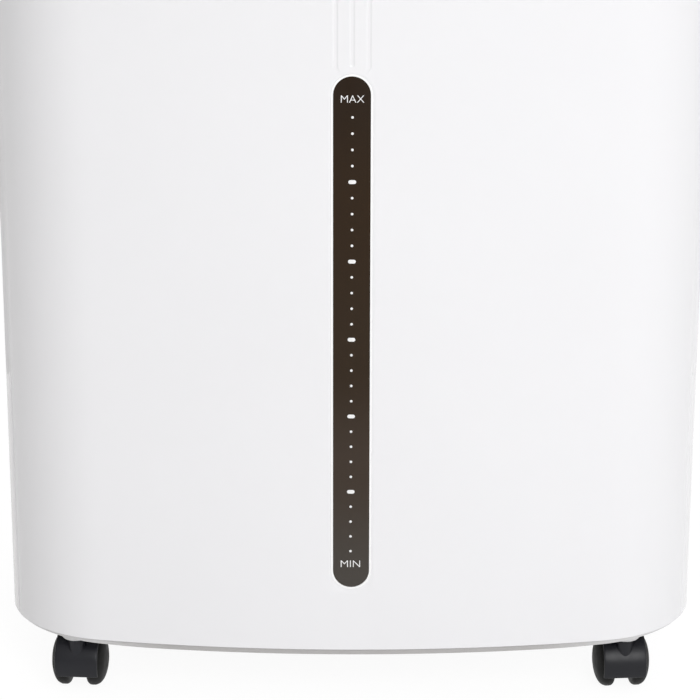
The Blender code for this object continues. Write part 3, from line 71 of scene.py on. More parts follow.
# ---------------- sizes from the frame
LOW, HIGH = (Vector(corner) for corner in CAD_BOX)
FRONT_Y = LOW.y
HALF_WIDTH = HIGH.x
REAR_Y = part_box("rear_housing")[1].y
PANEL_LOW, PANEL_HIGH = (corner.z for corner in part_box("front_panel"))
COVER_LOW, COVER_HIGH = (corner.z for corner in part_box("top_cover"))
LENS_LOW, LENS_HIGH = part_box("window_lens")
TANK_LOW, TANK_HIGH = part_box("water_tank")
FILTER_LOW, FILTER_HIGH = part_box("filter_frame")
FASCIA_LOW, FASCIA_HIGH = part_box("control_fascia")
FLAP_LOW, FLAP_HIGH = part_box("outlet_flap")
RIM_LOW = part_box("base_pan")[0].z
PAN_UNDER = RIM_LOW + 3.2 * MM
STEM_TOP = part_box("castor_front_left_stem")[1].z

WALL = 2.6 * MM
SEAM_GAP = 0.4 * MM
SEAM_ROUND = 0.7 * MM
BOW_RADIUS = 750 * MM
CORNER_RADIUS = 67 * MM
REAR_RADIUS = 28 * MM
SEAM_ANGLE = math.radians(66)

WINDOW_HALF = 9.85 * MM
BEZEL_WIDTH = 1.1 * MM
WINDOW_LOW = LENS_LOW.z + 2.7 * MM
WINDOW_HIGH = LENS_HIGH.z - 2.85 * MM
GROOVE_HALF = 1.45 * MM
GROOVE_PITCH = 8.7 * MM
GROOVE_DEPTH = 0.38 * MM

# ---------------- the cabinet's plan
BOW_Y = FRONT_Y + BOW_RADIUS
CORNER_X = HALF_WIDTH - CORNER_RADIUS
CORNER_Y = BOW_Y - math.sqrt((BOW_RADIUS - CORNER_RADIUS) ** 2 - CORNER_X**2)
BOW_ANGLE = math.atan2(CORNER_X, BOW_Y - CORNER_Y)
REAR_CORNER_X = HALF_WIDTH - REAR_RADIUS
REAR_CORNER_Y = REAR_Y - REAR_RADIUS
BOW_END = BOW_RADIUS * BOW_ANGLE
CORNER_END = BOW_END + CORNER_RADIUS * (math.pi / 2 - BOW_ANGLE)
SIDE_END = CORNER_END + REAR_CORNER_Y - CORNER_Y
TURN_END = SIDE_END + REAR_RADIUS * math.pi / 2
HALF_PLAN = TURN_END + REAR_CORNER_X
WHOLE_PLAN = 2 * HALF_PLAN
SEAM = BOW_END + CORNER_RADIUS * (SEAM_ANGLE - BOW_ANGLE)


def plan(s, inset):
    """A point of the cabinet's plan, drawn in by an inset, from the way s round it.

    s is 0 at the middle of the front and grows to the right. The plan is a shallow bow, a corner arc,
    a straight side, a rear corner arc and a straight back, and its left half mirrors the right. Each
    stage is an arc about a centre, and on a straight the centre moves along.
    """
    s = (np.asarray(s, float) + HALF_PLAN) % WHOLE_PLAN - HALF_PLAN
    a = np.abs(s)
    bow = np.minimum(a, BOW_END) / BOW_RADIUS
    corner = BOW_ANGLE + (np.clip(a, BOW_END, CORNER_END) - BOW_END) / CORNER_RADIUS
    turn = math.pi / 2 + (np.clip(a, SIDE_END, TURN_END) - SIDE_END) / REAR_RADIUS
    stage = [a <= BOW_END, a <= CORNER_END, a <= SIDE_END, a <= TURN_END]
    along_side, along_back = CORNER_Y + (a - CORNER_END), REAR_CORNER_X - (a - TURN_END)
    angle = np.select(stage, [bow, corner, corner, turn], turn)
    radius = np.select(stage, [BOW_RADIUS, CORNER_RADIUS, CORNER_RADIUS, REAR_RADIUS], REAR_RADIUS)
    x = np.select(stage, [0, CORNER_X, CORNER_X, REAR_CORNER_X], along_back)
    y = np.select(stage, [BOW_Y, CORNER_Y, along_side, REAR_CORNER_Y], REAR_CORNER_Y)
    side = np.where(s < 0, -1, 1)
    return side * (x + (radius - inset) * np.sin(angle)), y - (radius - inset) * np.cos(angle)


# ---------------- mesh tools
def steps(*runs, end):
    """A rising list of numbers without repeats: runs of (start, step), each as far as the next one."""
    starts = [start for start, _ in runs]
    line = []
    for (a, step), b in zip(runs, [*starts[1:], end]):
        line.extend(np.linspace(a, b, max(2, int(round((b - a) / step)) + 1)))
    line = np.sort(line)
    return line[np.concatenate(([True], np.diff(line) > 2e-6))]


def doubled(half, middle):
    """A list that rises to its middle, carried on past it as its mirror image."""
    return np.concatenate([half, 2 * middle - half[-2::-1]])


def quarter(count):
    """(1 - cosine, 1 - sine) over a quarter turn: the points of a rounded edge."""
    return [(1 - math.cos(t), 1 - math.sin(t)) for t in np.linspace(0, math.pi / 2, count)]


def middle(node):
    """The middle of a CAD node's box."""
    low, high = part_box(node)
    return (low + high) / 2


def half_across(node):
    """Half the width of a CAD node's box."""
    low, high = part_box(node)
    return (high.x - low.x) / 2


def grown(line, *values):
    """The list with values put in, and the numbers that lie very near to them taken out."""
    for value in values:
        line = line[np.abs(line - value) > 0.08 * MM]
        line = np.sort(np.append(line, value))
    return line


OPENING_ROWS = np.array([0, 0.08, 0.25, 0.5, 0.8, 1.2, 1.7, 2.3, 2.9]) * MM
FAR = 1.0  # the distance to an edge that points of the plain grid are given


def sheet(us, vs, openings=()):
    """A grid over us and vs, with rounded openings.

    Gives u, v, the distance to an opening's edge and the quads.

    An opening is (low u, high u, low v, high v, corner radius, margin). Round it the grid gives way to
    rows of points at set distances from the edge: each lies on a ray from the opening's own inner
    rectangle, drawn in by the corner radius, through a point of the grid one margin outside it.
    """
    for u0, u1, v0, v1, _, margin in openings:
        us = grown(us, u0 - margin, u1 + margin)
        vs = grown(vs, v0 - margin, v1 + margin)
    nu, nv = len(us), len(vs)
    index = np.arange(nu * nv).reshape(nu, nv)
    grid_u, grid_v = (g.ravel() for g in np.meshgrid(us, vs, indexing="ij"))
    cells = np.ones((nu - 1, nv - 1), bool)
    found = [np.stack([grid_u, grid_v, np.full(nu * nv, FAR)])]
    rings = []
    count = nu * nv
    for u0, u1, v0, v1, radius, margin in openings:
        i0, i1 = (int(np.argmin(np.abs(us - u))) for u in (u0 - margin, u1 + margin))
        j0, j1 = (int(np.argmin(np.abs(vs - v))) for v in (v0 - margin, v1 + margin))
        cells[i0:i1, j0:j1] = False
        sides = [index[i0:i1, j0], index[i1, j0:j1], index[i1:i0:-1, j1], index[i0, j1:j0:-1]]
        loop = np.concatenate(sides)
        p = np.stack([grid_u[loop], grid_v[loop]])
        low, high = np.array([[u0 + radius], [v0 + radius]]), np.array([[u1 - radius], [v1 - radius]])
        q = np.clip(p, low, high)
        ray = (p - q) / np.linalg.norm(p - q, axis=0)
        rows = []
        for distance in OPENING_ROWS[OPENING_ROWS < margin - 0.15 * MM]:
            found.append(np.vstack([q + ray * (radius + distance), np.full(len(loop), distance)]))
            rows.append(count + np.arange(len(loop)))
            count += len(loop)
        rows.append(loop)
        for inner, outer in zip(rows, rows[1:]):
            rings.append(np.stack([inner, outer, np.roll(outer, -1), np.roll(inner, -1)], 1))
    i, j = np.nonzero(cells)
    faces = np.stack([index[i, j], index[i + 1, j], index[i + 1, j + 1], index[i, j + 1]], 1)
    return *np.concatenate(found, 1), np.concatenate([faces, *rings])


def wrapped(outer, inner, faces):
    """One closed solid from an outer skin and an inner one with the same quads.

    The inner quads run the other way, and each edge that only one outer quad has gets a wall quad
    across to the inner skin.
    """
    n = len(outer)
    edges = np.concatenate([faces[:, [k, (k + 1) % 4]] for k in range(4)])
    forward = edges[:, 0] * n + edges[:, 1]
    backward = edges[:, 1] * n + edges[:, 0]
    rim = edges[~np.isin(forward, backward)]
    walls = np.stack([rim[:, 1], rim[:, 0], rim[:, 0] + n, rim[:, 1] + n], 1)
    return np.concatenate([outer, inner]), np.concatenate([faces, faces[:, ::-1] + n, walls])


def linked(name, data):
    """A new object in the scene for a mesh, a curve, a lamp or a camera."""
    made = bpy.data.objects.new(name, data)
    bpy.context.scene.collection.objects.link(made)
    return made


def mesh_object(name, points, faces, smooth=38):
    """Puts points and quads, or a list of faces, into an object, without unused points."""
    mesh = bpy.data.meshes.new(name)
    if isinstance(faces, np.ndarray):
        used, faces = np.unique(faces, return_inverse=True)
        faces = faces.reshape(-1, 4)
        points = np.asarray(points, float)[used]
        mesh.vertices.add(len(points))
        mesh.vertices.foreach_set("co", points.astype(np.float32).ravel())
        mesh.loops.add(faces.size)
        mesh.loops.foreach_set("vertex_index", faces.astype(np.int32).ravel())
        mesh.polygons.add(len(faces))
        mesh.polygons.foreach_set("loop_start", np.arange(0, faces.size, 4, dtype=np.int32))
        mesh.update(calc_edges=True)
    else:
        mesh.from_pydata([tuple(p) for p in points], [], faces)
    mesh.validate()
    mesh.shade_smooth()
    mesh.set_sharp_from_angle(angle=math.radians(smooth))
    return linked(name, mesh)


def tubular(rings, capped=True):
    """Points and faces through closed rings of as many points each: an array (rings, points, 3)."""
    rings = np.asarray(rings, float)
    rows, around = rings.shape[:2]
    index = np.arange(rows * around).reshape(rows, around)
    ahead = np.roll(index, -1, 1)
    faces = np.stack([index[:-1], ahead[:-1], ahead[1:], index[1:]], -1).reshape(-1, 4).tolist()
    if capped:
        faces += [index[0, ::-1].tolist(), index[-1].tolist()]
    else:
        faces += np.stack([index[-1], ahead[-1], ahead[0], index[0]], -1).tolist()
    return rings.reshape(-1, 3), faces


def turned(profile, centre=(0, 0, 0), axis="Z", around=48, closed=False):
    """A profile of (height, radius) turned about Z or X; a closed one is a loop off the axis."""
    profile = np.asarray(profile, float)
    angle = np.linspace(0, 2 * math.pi, around, endpoint=False)
    radius = np.maximum(profile[:, 1], 1e-5)[:, None]
    height = np.repeat(profile[:, :1], around, 1)
    flat = np.stack([radius * np.cos(angle), radius * np.sin(angle), height], -1)
    rings = np.roll(flat, 1, -1) if axis == "X" else flat
    return tubular(rings + np.asarray(centre), capped=not closed)


def rounded_profile(points, radius=0.4 * MM, turns=4):
    """A profile with its inner corners rounded: each corner gives way to an arc of short chords."""
    points = [np.asarray(p, float) for p in points]
    found = [points[0]]
    for before, here, after in zip(points, points[1:], points[2:]):
        a, b = before - here, after - here
        room = min(radius, 0.45 * np.linalg.norm(a), 0.45 * np.linalg.norm(b))
        start, end = here + a / np.linalg.norm(a) * room, here + b / np.linalg.norm(b) * room
        for t in np.linspace(0, 1, turns + 1):
            found.append((1 - t) ** 2 * start + 2 * t * (1 - t) * here + t**2 * end)
    found.append(points[-1])
    return found


def merged(parts):
    """Points and faces of several solids as one list."""
    points, faces, count = [], [], 0
    for part_points, part_faces in parts:
        points.append(np.asarray(part_points, float))
        faces += [[v + count for v in face] for face in part_faces]
        count += len(part_points)
    return np.concatenate(points), faces


def outward(obj):
    """Turns every closed shell of a piece so that its faces point out."""
    work = bmesh.new()
    work.from_mesh(obj.data)
    bmesh.ops.remove_doubles(work, verts=work.verts, dist=1e-6)
    bmesh.ops.recalc_face_normals(work, faces=work.faces)
    work.to_mesh(obj.data)
    work.free()
    return obj


SLOT_OF = {part["node"]: part["material_slot"] for part in frame["record"]["subparts"]}


def clad(obj, finish, node=None, body="cabinet", slot="white_gloss"):
    """Gives a piece its finish and body, and hides the CAD node that it stands for, if any. The slot is not used.
    """
    obj.data.materials.clear()
    obj.data.materials.append(finish)
    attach(obj, body)
    if node:
        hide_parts(node)


def closed_piece(name, solid, finish, node=None, smooth=38, **place):
    """A clad piece from the points and faces of closed shells."""
    clad(outward(mesh_object(name, *solid, smooth)), finish, node, **place)


# ---------------- finishes
def nodes_for(name):
    """A new finish, its node tree and its shader."""
    finish = bpy.data.materials.new(name)
    finish.use_nodes = True
    return finish, finish.node_tree, finish.node_tree.nodes["Principled BSDF"]


def feed(target, inputs):
    """Fills a node's inputs by name or number, each with a value or from another node's output."""
    for name, value in inputs.items():
        if isinstance(value, bpy.types.NodeSocket):
            target.id_data.links.new(value, target.inputs[name])
        else:
            target.inputs[name].default_value = value


def wired(tree, kind, inputs):
    """A new shader node with its inputs filled."""
    made = tree.nodes.new("ShaderNode" + kind)
    feed(made, inputs)
    return made


def reckoned(tree, operation, *inputs):
    """The outcome of a sum on one or two values."""
    made = tree.nodes.new("ShaderNodeMath")
    made.operation = operation
    feed(made, dict(enumerate(inputs)))
    return made.outputs[0]


def own_place(tree):
    """The piece's own coordinates."""
    place = tree.nodes.get("Place") or tree.nodes.new("ShaderNodeTexCoord")
    place.name = "Place"
    return place.outputs["Object"]


def along_axis(tree, axis, place):
    """One coordinate of a place."""
    return wired(tree, "SeparateXYZ", {"Vector": place}).outputs[axis]


def noise(tree, scale, detail, roughness=0.5, place=None):
    """A noise, scale to the metre, over a given place or the piece's own coordinates."""
    place = own_place(tree) if place is None else place
    inputs = {"Scale": scale, "Detail": detail, "Roughness": roughness, "Vector": place}
    return wired(tree, "TexNoise", inputs).outputs["Fac"]


def share_between(tree, source, start, stop, low=0, high=1):
    """Low where a value is at its start, high where it is at its stop, and evenly between."""
    inputs = {"Value": source, "From Min": start, "From Max": stop, "To Min": low, "To Max": high}
    return wired(tree, "MapRange", inputs).outputs["Result"]


def spread(tree, source, low, high):
    """Maps a noise's middle range to low and high."""
    return share_between(tree, source, 0.3, 0.7, low, high)


def eased(tree, factor, *stops):
    """A soft run of colours through stops of (share, colour)."""
    ramp = wired(tree, "ValToRGB", {"Fac": factor})
    ramp.color_ramp.interpolation = "EASE"
    points = ramp.color_ramp.elements
    for share, colour in stops[1:-1]:
        points.new(share).color = (*colour, 1)
    for end in (0, -1):
        share, colour = stops[end]
        points[end].position = share
        points[end].color = (*colour, 1)
    return ramp.outputs["Color"]


def blended(tree, factor, first, second):
    """Two shaders mixed by a factor."""
    inputs = {"Fac": factor, 1: first.outputs[0], 2: second.outputs[0]}
    return wired(tree, "MixShader", inputs).outputs[0]


def bumps(tree, shader, *layers):
    """Stacks bumps of (height source, depth in metres, strength) on a shader's normal."""
    below = {}
    for source, depth, strength in layers:
        inputs = {"Height": source, "Distance": depth, "Strength": strength, **below}
        below = {"Normal": wired(tree, "Bump", inputs).outputs["Normal"]}
    feed(shader, below)


def tinted(tree, shader, colour, other, factor):
    """The base colour, which drifts between two near colours."""
    mix = tree.nodes.new("ShaderNodeMix")
    mix.data_type = "RGBA"
    feed(mix, {"A": (*colour, 1), "B": (*other, 1), "Factor": factor})
    feed(shader, {"Base Color": mix.outputs["Result"]})


def dimmed(colour, share):
    """A share of a colour's light."""
    return tuple(c * share for c in colour)


def plastic(name, colour, rough, grain=0.0, grain_scale=2200, drift=0.03, coat=0.0, specular=0.5):
    """Moulded or painted stock: a slow drift of tone and gloss, a moulding ripple and a fine grain."""
    finish, tree, shader = nodes_for(name)
    ripple = noise(tree, 160, 3)
    fine = noise(tree, grain_scale, 2)
    gloss = spread(tree, ripple, rough * 0.85, rough * 1.15)
    feed(shader, {"Specular IOR Level": specular, "Coat Weight": coat, "Roughness": gloss})
    tinted(tree, shader, colour, dimmed(colour, 1 - drift), spread(tree, noise(tree, 9, 2), 0, 1))
    bumps(tree, shader, (ripple, 0.02 * MM, 0.05 + grain * 0.1), (fine, 0.03 * MM, grain))
    return finish


def graded_painted_shade(name, inmost, ends, rough):
    """Moulded stock darkened in the piece's middle as painted shade under the panel's edge, paling towards its
    ends along X, with a fine grain.
    """
    finish, tree, shader = nodes_for(name)
    fine = noise(tree, 2200, 2)
    reach = reckoned(tree, "ABSOLUTE", along_axis(tree, "X", own_place(tree)))
    tinted(tree, shader, inmost, ends, share_between(tree, reach, 100 * MM, 175 * MM))
    feed(shader, {"Roughness": spread(tree, fine, rough * 0.85, rough * 1.15)})
    bumps(tree, shader, (fine, 0.03 * MM, 0.2))
    return finish


def metal(name, colour, rough, along=(1, 1, 1), scale=60):
    """Bare metal with drawn or rolled marks: a stretched noise moves its gloss and its bump."""
    finish, tree, shader = nodes_for(name)
    stretch = wired(tree, "Mapping", {"Scale": along, "Vector": own_place(tree)})
    marks = noise(tree, scale, 4, 0.6, stretch.outputs["Vector"])
    tinted(tree, shader, colour, dimmed(colour, 0.82), spread(tree, noise(tree, 25, 3), 0, 1))
    feed(shader, {"Metallic": 1.0, "Roughness": spread(tree, marks, rough * 0.75, rough * 1.3)})
    bumps(tree, shader, (marks, 0.02 * MM, 0.25))
    return finish


def clear_plastic(name, colour, rough, through):
    """Tinted clear stock that lets light through, with a faint moulding haze."""
    finish, tree, shader = nodes_for(name)
    haze = noise(tree, 90, 4)
    gloss = spread(tree, haze, rough * 0.7, rough * 1.4)
    feed(shader, {"Transmission Weight": through, "IOR": 1.5, "Roughness": gloss})
    tinted(tree, shader, colour, dimmed(colour, 0.95), spread(tree, noise(tree, 14, 3), 0, 1))
    bumps(tree, shader, (haze, 0.05 * MM, 0.08))
    return finish


def smoked_painted_reflection(name, *stops):
    """Smoked stock with a painted reflection: its tone follows the height through stops of (share, colour),
    darkest at the top and lighter towards the bottom.
    """
    finish, tree, shader = nodes_for(name)
    haze = noise(tree, 60, 4)
    # the tone's rise with height stands in for a reflection: painted reflection, lighter lower down
    height = share_between(tree, along_axis(tree, "Z", own_place(tree)), LENS_LOW.z, LENS_HIGH.z)
    feed(shader, {"Base Color": eased(tree, height, *stops), "Specular IOR Level": 0.12})
    feed(shader, {"Roughness": spread(tree, haze, 0.1, 0.16)})
    bumps(tree, shader, (haze, 0.02 * MM, 0.05))
    return finish


def woven(name, colour, pitch):
    """A woven mesh: crossed waves give each thread its height, and the gaps are darkened as painted shade."""
    finish, tree, shader = nodes_for(name)
    waves = []
    for axis in ("X", "Z"):
        turn = reckoned(tree, "MULTIPLY", along_axis(tree, axis, own_place(tree)), 2 * math.pi / pitch)
        waves.append(reckoned(tree, "SINE", turn))
    height = share_between(tree, reckoned(tree, "MAXIMUM", *waves), -1.0, 1.0)
    # the low parts between threads get a quarter of the colour: painted shade in the gaps
    tinted(tree, shader, dimmed(colour, 0.25), colour, height)
    feed(shader, {"Roughness": 0.75})
    bumps(tree, shader, (height, 0.2 * MM, 0.6))
    return finish


WHITE = plastic("white_gloss_abs", (0.865, 0.863, 0.882), 0.22, drift=0.012, coat=0.2)
COVER_WHITE = plastic("white_satin_abs", (0.84, 0.838, 0.856), 0.75, 0.1, drift=0.012, specular=0.06)
PRINT = plastic("white_print", (0.9, 0.9, 0.9), 0.45, grain=0.05, drift=0.02)
# the bezel's white, brighter than the panel's, is a painted highlight on the window's rim
BEZEL_PAINTED_HIGHLIGHT = plastic("white_bezel", (0.99, 0.99, 0.99), 0.25, drift=0.005, coat=0.3)
# the pan's grey, darkest in the middle and paler at the ends, is painted shade under the panel's edge
PAN_PAINTED_SHADE = graded_painted_shade("pan_grey", (0.46, 0.45, 0.445), (0.70, 0.70, 0.705), 0.45)
GREY = plastic("grey_moulding", (0.40, 0.40, 0.405), 0.48, grain=0.35)
BLACK = plastic("black_moulding", (0.03, 0.03, 0.033), 0.45, grain=0.3)
NYLON = plastic("castor_nylon", (0.0115, 0.012, 0.016), 0.38, 0.25, 3000, drift=0.2, specular=0.3)
TYRE = plastic("castor_tread", (0.011, 0.011, 0.0105), 0.55, 0.3, 1800, drift=0.2, specular=0.14)
BUTTON = plastic("satin_button", (0.72, 0.72, 0.73), 0.34, grain=0.15, drift=0.02)
FASCIA = plastic("black_fascia", (0.02, 0.02, 0.024), 0.5, drift=0.2, specular=0.12)
# the smoked lens grows lighter towards the bottom as a painted reflection
SMOKED_PAINTED_REFLECTION = smoked_painted_reflection(
    "smoked_window",
    (0.0, (0.067, 0.0595, 0.052)),
    (0.25, (0.0505, 0.036, 0.0266)),
    (0.45, (0.032, 0.0194, 0.0104)),
    (0.75, (0.029, 0.0156, 0.0066)),
    (1.0, (0.0217, 0.0122, 0.0062)),
)

FINISH_OF_SLOT = {
    "white_gloss": WHITE,
    "smoked_lens": SMOKED_PAINTED_REFLECTION,
    "grey_plastic": GREY,
    "black_plastic": BLACK,
    "black_nylon": NYLON,
    "button_grey": BUTTON,
    "fascia_gloss": FASCIA,
    "rubber": plastic("soft_rubber", (0.03, 0.03, 0.03), 0.8, grain=0.5, grain_scale=1500),
    "black_paint": plastic("black_shell_paint", (0.025, 0.025, 0.027), 0.32, 0.2, 900, 0.2, coat=0.2),
    "foam_white": plastic("moulded_foam", (0.86, 0.86, 0.83), 0.9, grain=0.9, grain_scale=900),
    "board_green": plastic("solder_resist", (0.03, 0.2, 0.08), 0.35, 0.3, 700, drift=0.2),
    "zinc_steel": metal("zinc_plate", (0.62, 0.62, 0.64), 0.32, scale=45),
    "fins": metal("fin_stock", (0.78, 0.79, 0.8), 0.3, along=(1, 1, 0.05), scale=500),
    "copper": metal("drawn_copper", (0.75, 0.4, 0.24), 0.26, along=(0.2, 1, 1), scale=200),
    "clear_tank": clear_plastic("clear_tank_stock", (0.8, 0.87, 0.92), 0.14, 0.7),
    "filter_mesh": woven("filter_weave", (0.10, 0.10, 0.11), 1.2 * MM),
}


def finish_frame():
    """Every CAD node takes the finish of its slot."""
    for name, node in frame["nodes"].items():
        node.data.materials.clear()
        node.data.materials.append(FINISH_OF_SLOT[SLOT_OF[name]])


# ---------------- front panel and window
def edge_round(distance, radius):
    """How far a surface falls back at a distance from an edge that is rounded to a radius."""
    t = 1 - np.clip(distance / radius, 0, 1)
    return radius * (1 - np.sqrt(1 - t**2))


def soft_step(x):
    """A smooth rise from 0 to 1."""
    t = np.clip(x, 0, 1)
    return t * t * (3 - 2 * t)


def groove_relief(x, z):
    """Three round-ended grooves: the depth rises over a soft wall from each groove's outline inwards."""
    depth = np.zeros_like(x)
    for side in (-1, 0, 1):
        low = WINDOW_HIGH + (4.85 if side == 0 else 2.75) * MM + GROOVE_HALF
        reach = np.hypot(x - side * GROOVE_PITCH, np.minimum(z - low, 0))
        depth = np.maximum(depth, GROOVE_DEPTH * soft_step((GROOVE_HALF - reach) / (0.75 * MM)))
    return depth


def bezel_relief(edge, z):
    """The panel's edge round the window: a small rounding and a straight cove, widest at the foot."""
    below = soft_step((WINDOW_LOW + WINDOW_HALF - z) / WINDOW_HALF)
    cove = 0.17 * np.clip(1.2 * MM + 1.7 * MM * below - edge, 0, None)
    return edge_round(edge, 0.12 * MM) + cove


def skin(name, u, v, depth, faces):
    """A wall of the cabinet over its plan: the outer skin lies back by a depth from the plan."""
    skins = [np.stack([*plan(u, inset), v], 1) for inset in (depth, WALL)]
    clad(mesh_object(name + "_shell", *wrapped(*skins, faces)), WHITE, name)


def make_front_panel():
    """The bowed panel with its window's opening, the bezel's seat round it and the grooves above."""
    seam = SEAM - SEAM_GAP / 2
    e = SEAM_ROUND
    turn = 0.9 * MM
    half_us = steps(
        (-seam, turn / 6),
        (-seam + turn, 2.6 * MM),
        (-BOW_END, 5 * MM),
        (-14 * MM, 0.34 * MM),
        end=0,
    )
    vs = steps(
        (PANEL_LOW, e / 4),
        (PANEL_LOW + e, 5 * MM),
        (WINDOW_LOW - 4 * MM, 0.6 * MM),
        (WINDOW_LOW + 11 * MM, 6 * MM),
        (WINDOW_HIGH - 11 * MM, 0.34 * MM),
        (WINDOW_HIGH + 10 * MM, 8 * MM),
        (PANEL_HIGH - e, e / 4),
        end=PANEL_HIGH,
    )
    half = WINDOW_HALF + BEZEL_WIDTH
    hole = (-half, half, WINDOW_LOW - BEZEL_WIDTH, WINDOW_HIGH + BEZEL_WIDTH, half, 3.4 * MM)
    u, v, edge, faces = sheet(doubled(half_us, 0), vs, [hole])
    depth = groove_relief(u, v) + np.where(edge < FAR, bezel_relief(edge, v), 0)
    depth += edge_round(v - PANEL_LOW, 0.35 * MM) + edge_round(PANEL_HIGH - v, e)
    depth += edge_round(seam - np.abs(u), turn)
    skin("front_panel", u, v, depth, faces)


def pill(half, low, high, profile, around=24, capped=True):
    """A round-ended slab: rings of (reach past the half width, y) round the pill's middle line."""
    turn = np.linspace(0, math.pi, around + 1)
    turn = np.concatenate([turn, turn + math.pi])
    centre = np.repeat([high - half, low + half], around + 1)
    rings = []
    for reach, y in profile:
        r = half + reach
        rings.append(np.stack([r * np.cos(turn), np.full_like(turn, y), centre + r * np.sin(turn)], 1))
    return tubular(rings, capped)


def make_bezel():
    """The bright moulded ring round the window, its brightness a painted highlight: nearly flat, round-edged, a
    hair proud of the panel.
    """
    deep, proud, e = FRONT_Y + 2.2 * MM, FRONT_Y + 0.1 * MM, 0.12 * MM
    near = [(e * a, proud + e * b) for a, b in quarter(4)]
    far = [(BEZEL_WIDTH - reach, y) for reach, y in near[::-1]]
    profile = [(0.0, deep), *near, *far, (BEZEL_WIDTH, deep)]
    ring = pill(WINDOW_HALF, WINDOW_LOW, WINDOW_HIGH, profile, 40, capped=False)
    closed_piece("window_bezel", ring, BEZEL_PAINTED_HIGHLIGHT, smooth=60)


def make_window():
    """The bezel, the flanged lens behind it and the printed scale on the lens."""
    make_bezel()
    front = FRONT_Y + 0.35 * MM
    back = LENS_HIGH.y
    flange = back - 1.2 * MM
    profile = [(-0.45 * MM, front), (-0.25 * MM, front + 0.03 * MM), (-0.1 * MM, front + 0.13 * MM)]
    profile += [(-0.05 * MM, front + 0.3 * MM), (-0.05 * MM, flange), (3 * MM, flange), (3 * MM, back)]
    lens = pill(WINDOW_HALF, WINDOW_LOW, WINDOW_HIGH, profile, 32)
    closed_piece("window_lens_pane", lens, SMOKED_PAINTED_REFLECTION, "window_lens", smooth=30)
    make_scale(front)


MARKS = 29
MARK_PITCH = 8.6 * MM
FIRST_MARK = WINDOW_HIGH - 21.6 * MM  # the top one
SCALE_LEAN = 0.0025  # how far the printing leans to the right for each metre of height
PRINT_HEIGHT = 0.05 * MM
CAP_HEIGHT = 3.8 * MM


def lean(z):
    """How far right the printing lies at a height."""
    return SCALE_LEAN * (z - (WINDOW_LOW + WINDOW_HIGH) / 2)


def make_scale(front):
    """The printed level scale: dots at an even pitch, and a dash at every fifth."""
    y0, y1 = front - PRINT_HEIGHT, front + 0.2 * MM
    parts = []
    for k in range(MARKS):
        z = FIRST_MARK - k * MARK_PITCH
        if k % 5 == 4:
            half, reach = 1.05 * MM, 2.05 * MM
        else:
            half = reach = 0.7 * MM
        points, faces = pill(half, -reach, reach, [(-0.05 * MM, y0), (0, y0 + 0.02 * MM), (0, y1)], 10)
        parts.append((np.stack([points[:, 2] + lean(z), points[:, 1], z - points[:, 0]], 1), faces))
    closed_piece("level_scale_marks", merged(parts), PRINT)
    for name, text, z, width in (
        ("level_word_high", "MAX", WINDOW_HIGH - 11.9 * MM, 12.2 * MM),
        ("level_word_low", "MIN", WINDOW_LOW + 13.7 * MM, 10.6 * MM),
    ):
        make_word(name, text, z, width, y0, y1)


def make_word(name, text, z, width, y0, y1):
    """A printed word, drawn out from its flat outline and set to its width and cap height."""
    curve = bpy.data.curves.new(name, "FONT")
    curve.body = text
    curve.fill_mode = "BOTH"
    curve.extrude = 0.1
    curve.offset = -0.012
    written = linked(name + "_curve", curve)
    graph = bpy.context.evaluated_depsgraph_get()
    mesh = bpy.data.meshes.new_from_object(written.evaluated_get(graph))
    bpy.data.objects.remove(written, do_unlink=True)
    flat = np.zeros(len(mesh.vertices) * 3)
    mesh.vertices.foreach_get("co", flat)
    flat = flat.reshape(-1, 3)
    low, high = flat.min(0), flat.max(0)
    across, up, out = ((flat - (low + high) / 2) / (high - low) * (width, CAP_HEIGHT, y1 - y0)).T
    solid = np.stack([across + lean(z), (y0 + y1) / 2 - out, z + up], 1)
    mesh.vertices.foreach_set("co", solid.astype(np.float32).ravel())
    mesh.update()
    clad(outward(linked(name, mesh)), PRINT)


# ---------------- rear housing
SCOOP_DEPTH = 2.2 * MM
SCOOP_LOW = PANEL_LOW + 149 * MM  # the middle of the scoop's lower end
SCOOP_HIGH = COVER_LOW - 70 * MM
SCOOP_BLEND = 14 * MM  # the radius that the scoop's and the corner's curves make together
SCOOP_HALF = math.sqrt(2 * SCOOP_DEPTH * SCOOP_BLEND)


def scoop_relief(from_seam, z):
    """A shallow round-ended hollow behind the seam: a parabola across, and one past each end."""
    across = (from_seam - SCOOP_HALF) ** 2 / (2 * SCOOP_BLEND)
    past = np.maximum(SCOOP_LOW - z, 0) + np.maximum(z - SCOOP_HIGH, 0)
    depth = SCOOP_DEPTH - across - past**2 / (36 * MM)
    return 0.5 * (depth + np.sqrt(depth**2 + (0.16 * MM) ** 2))


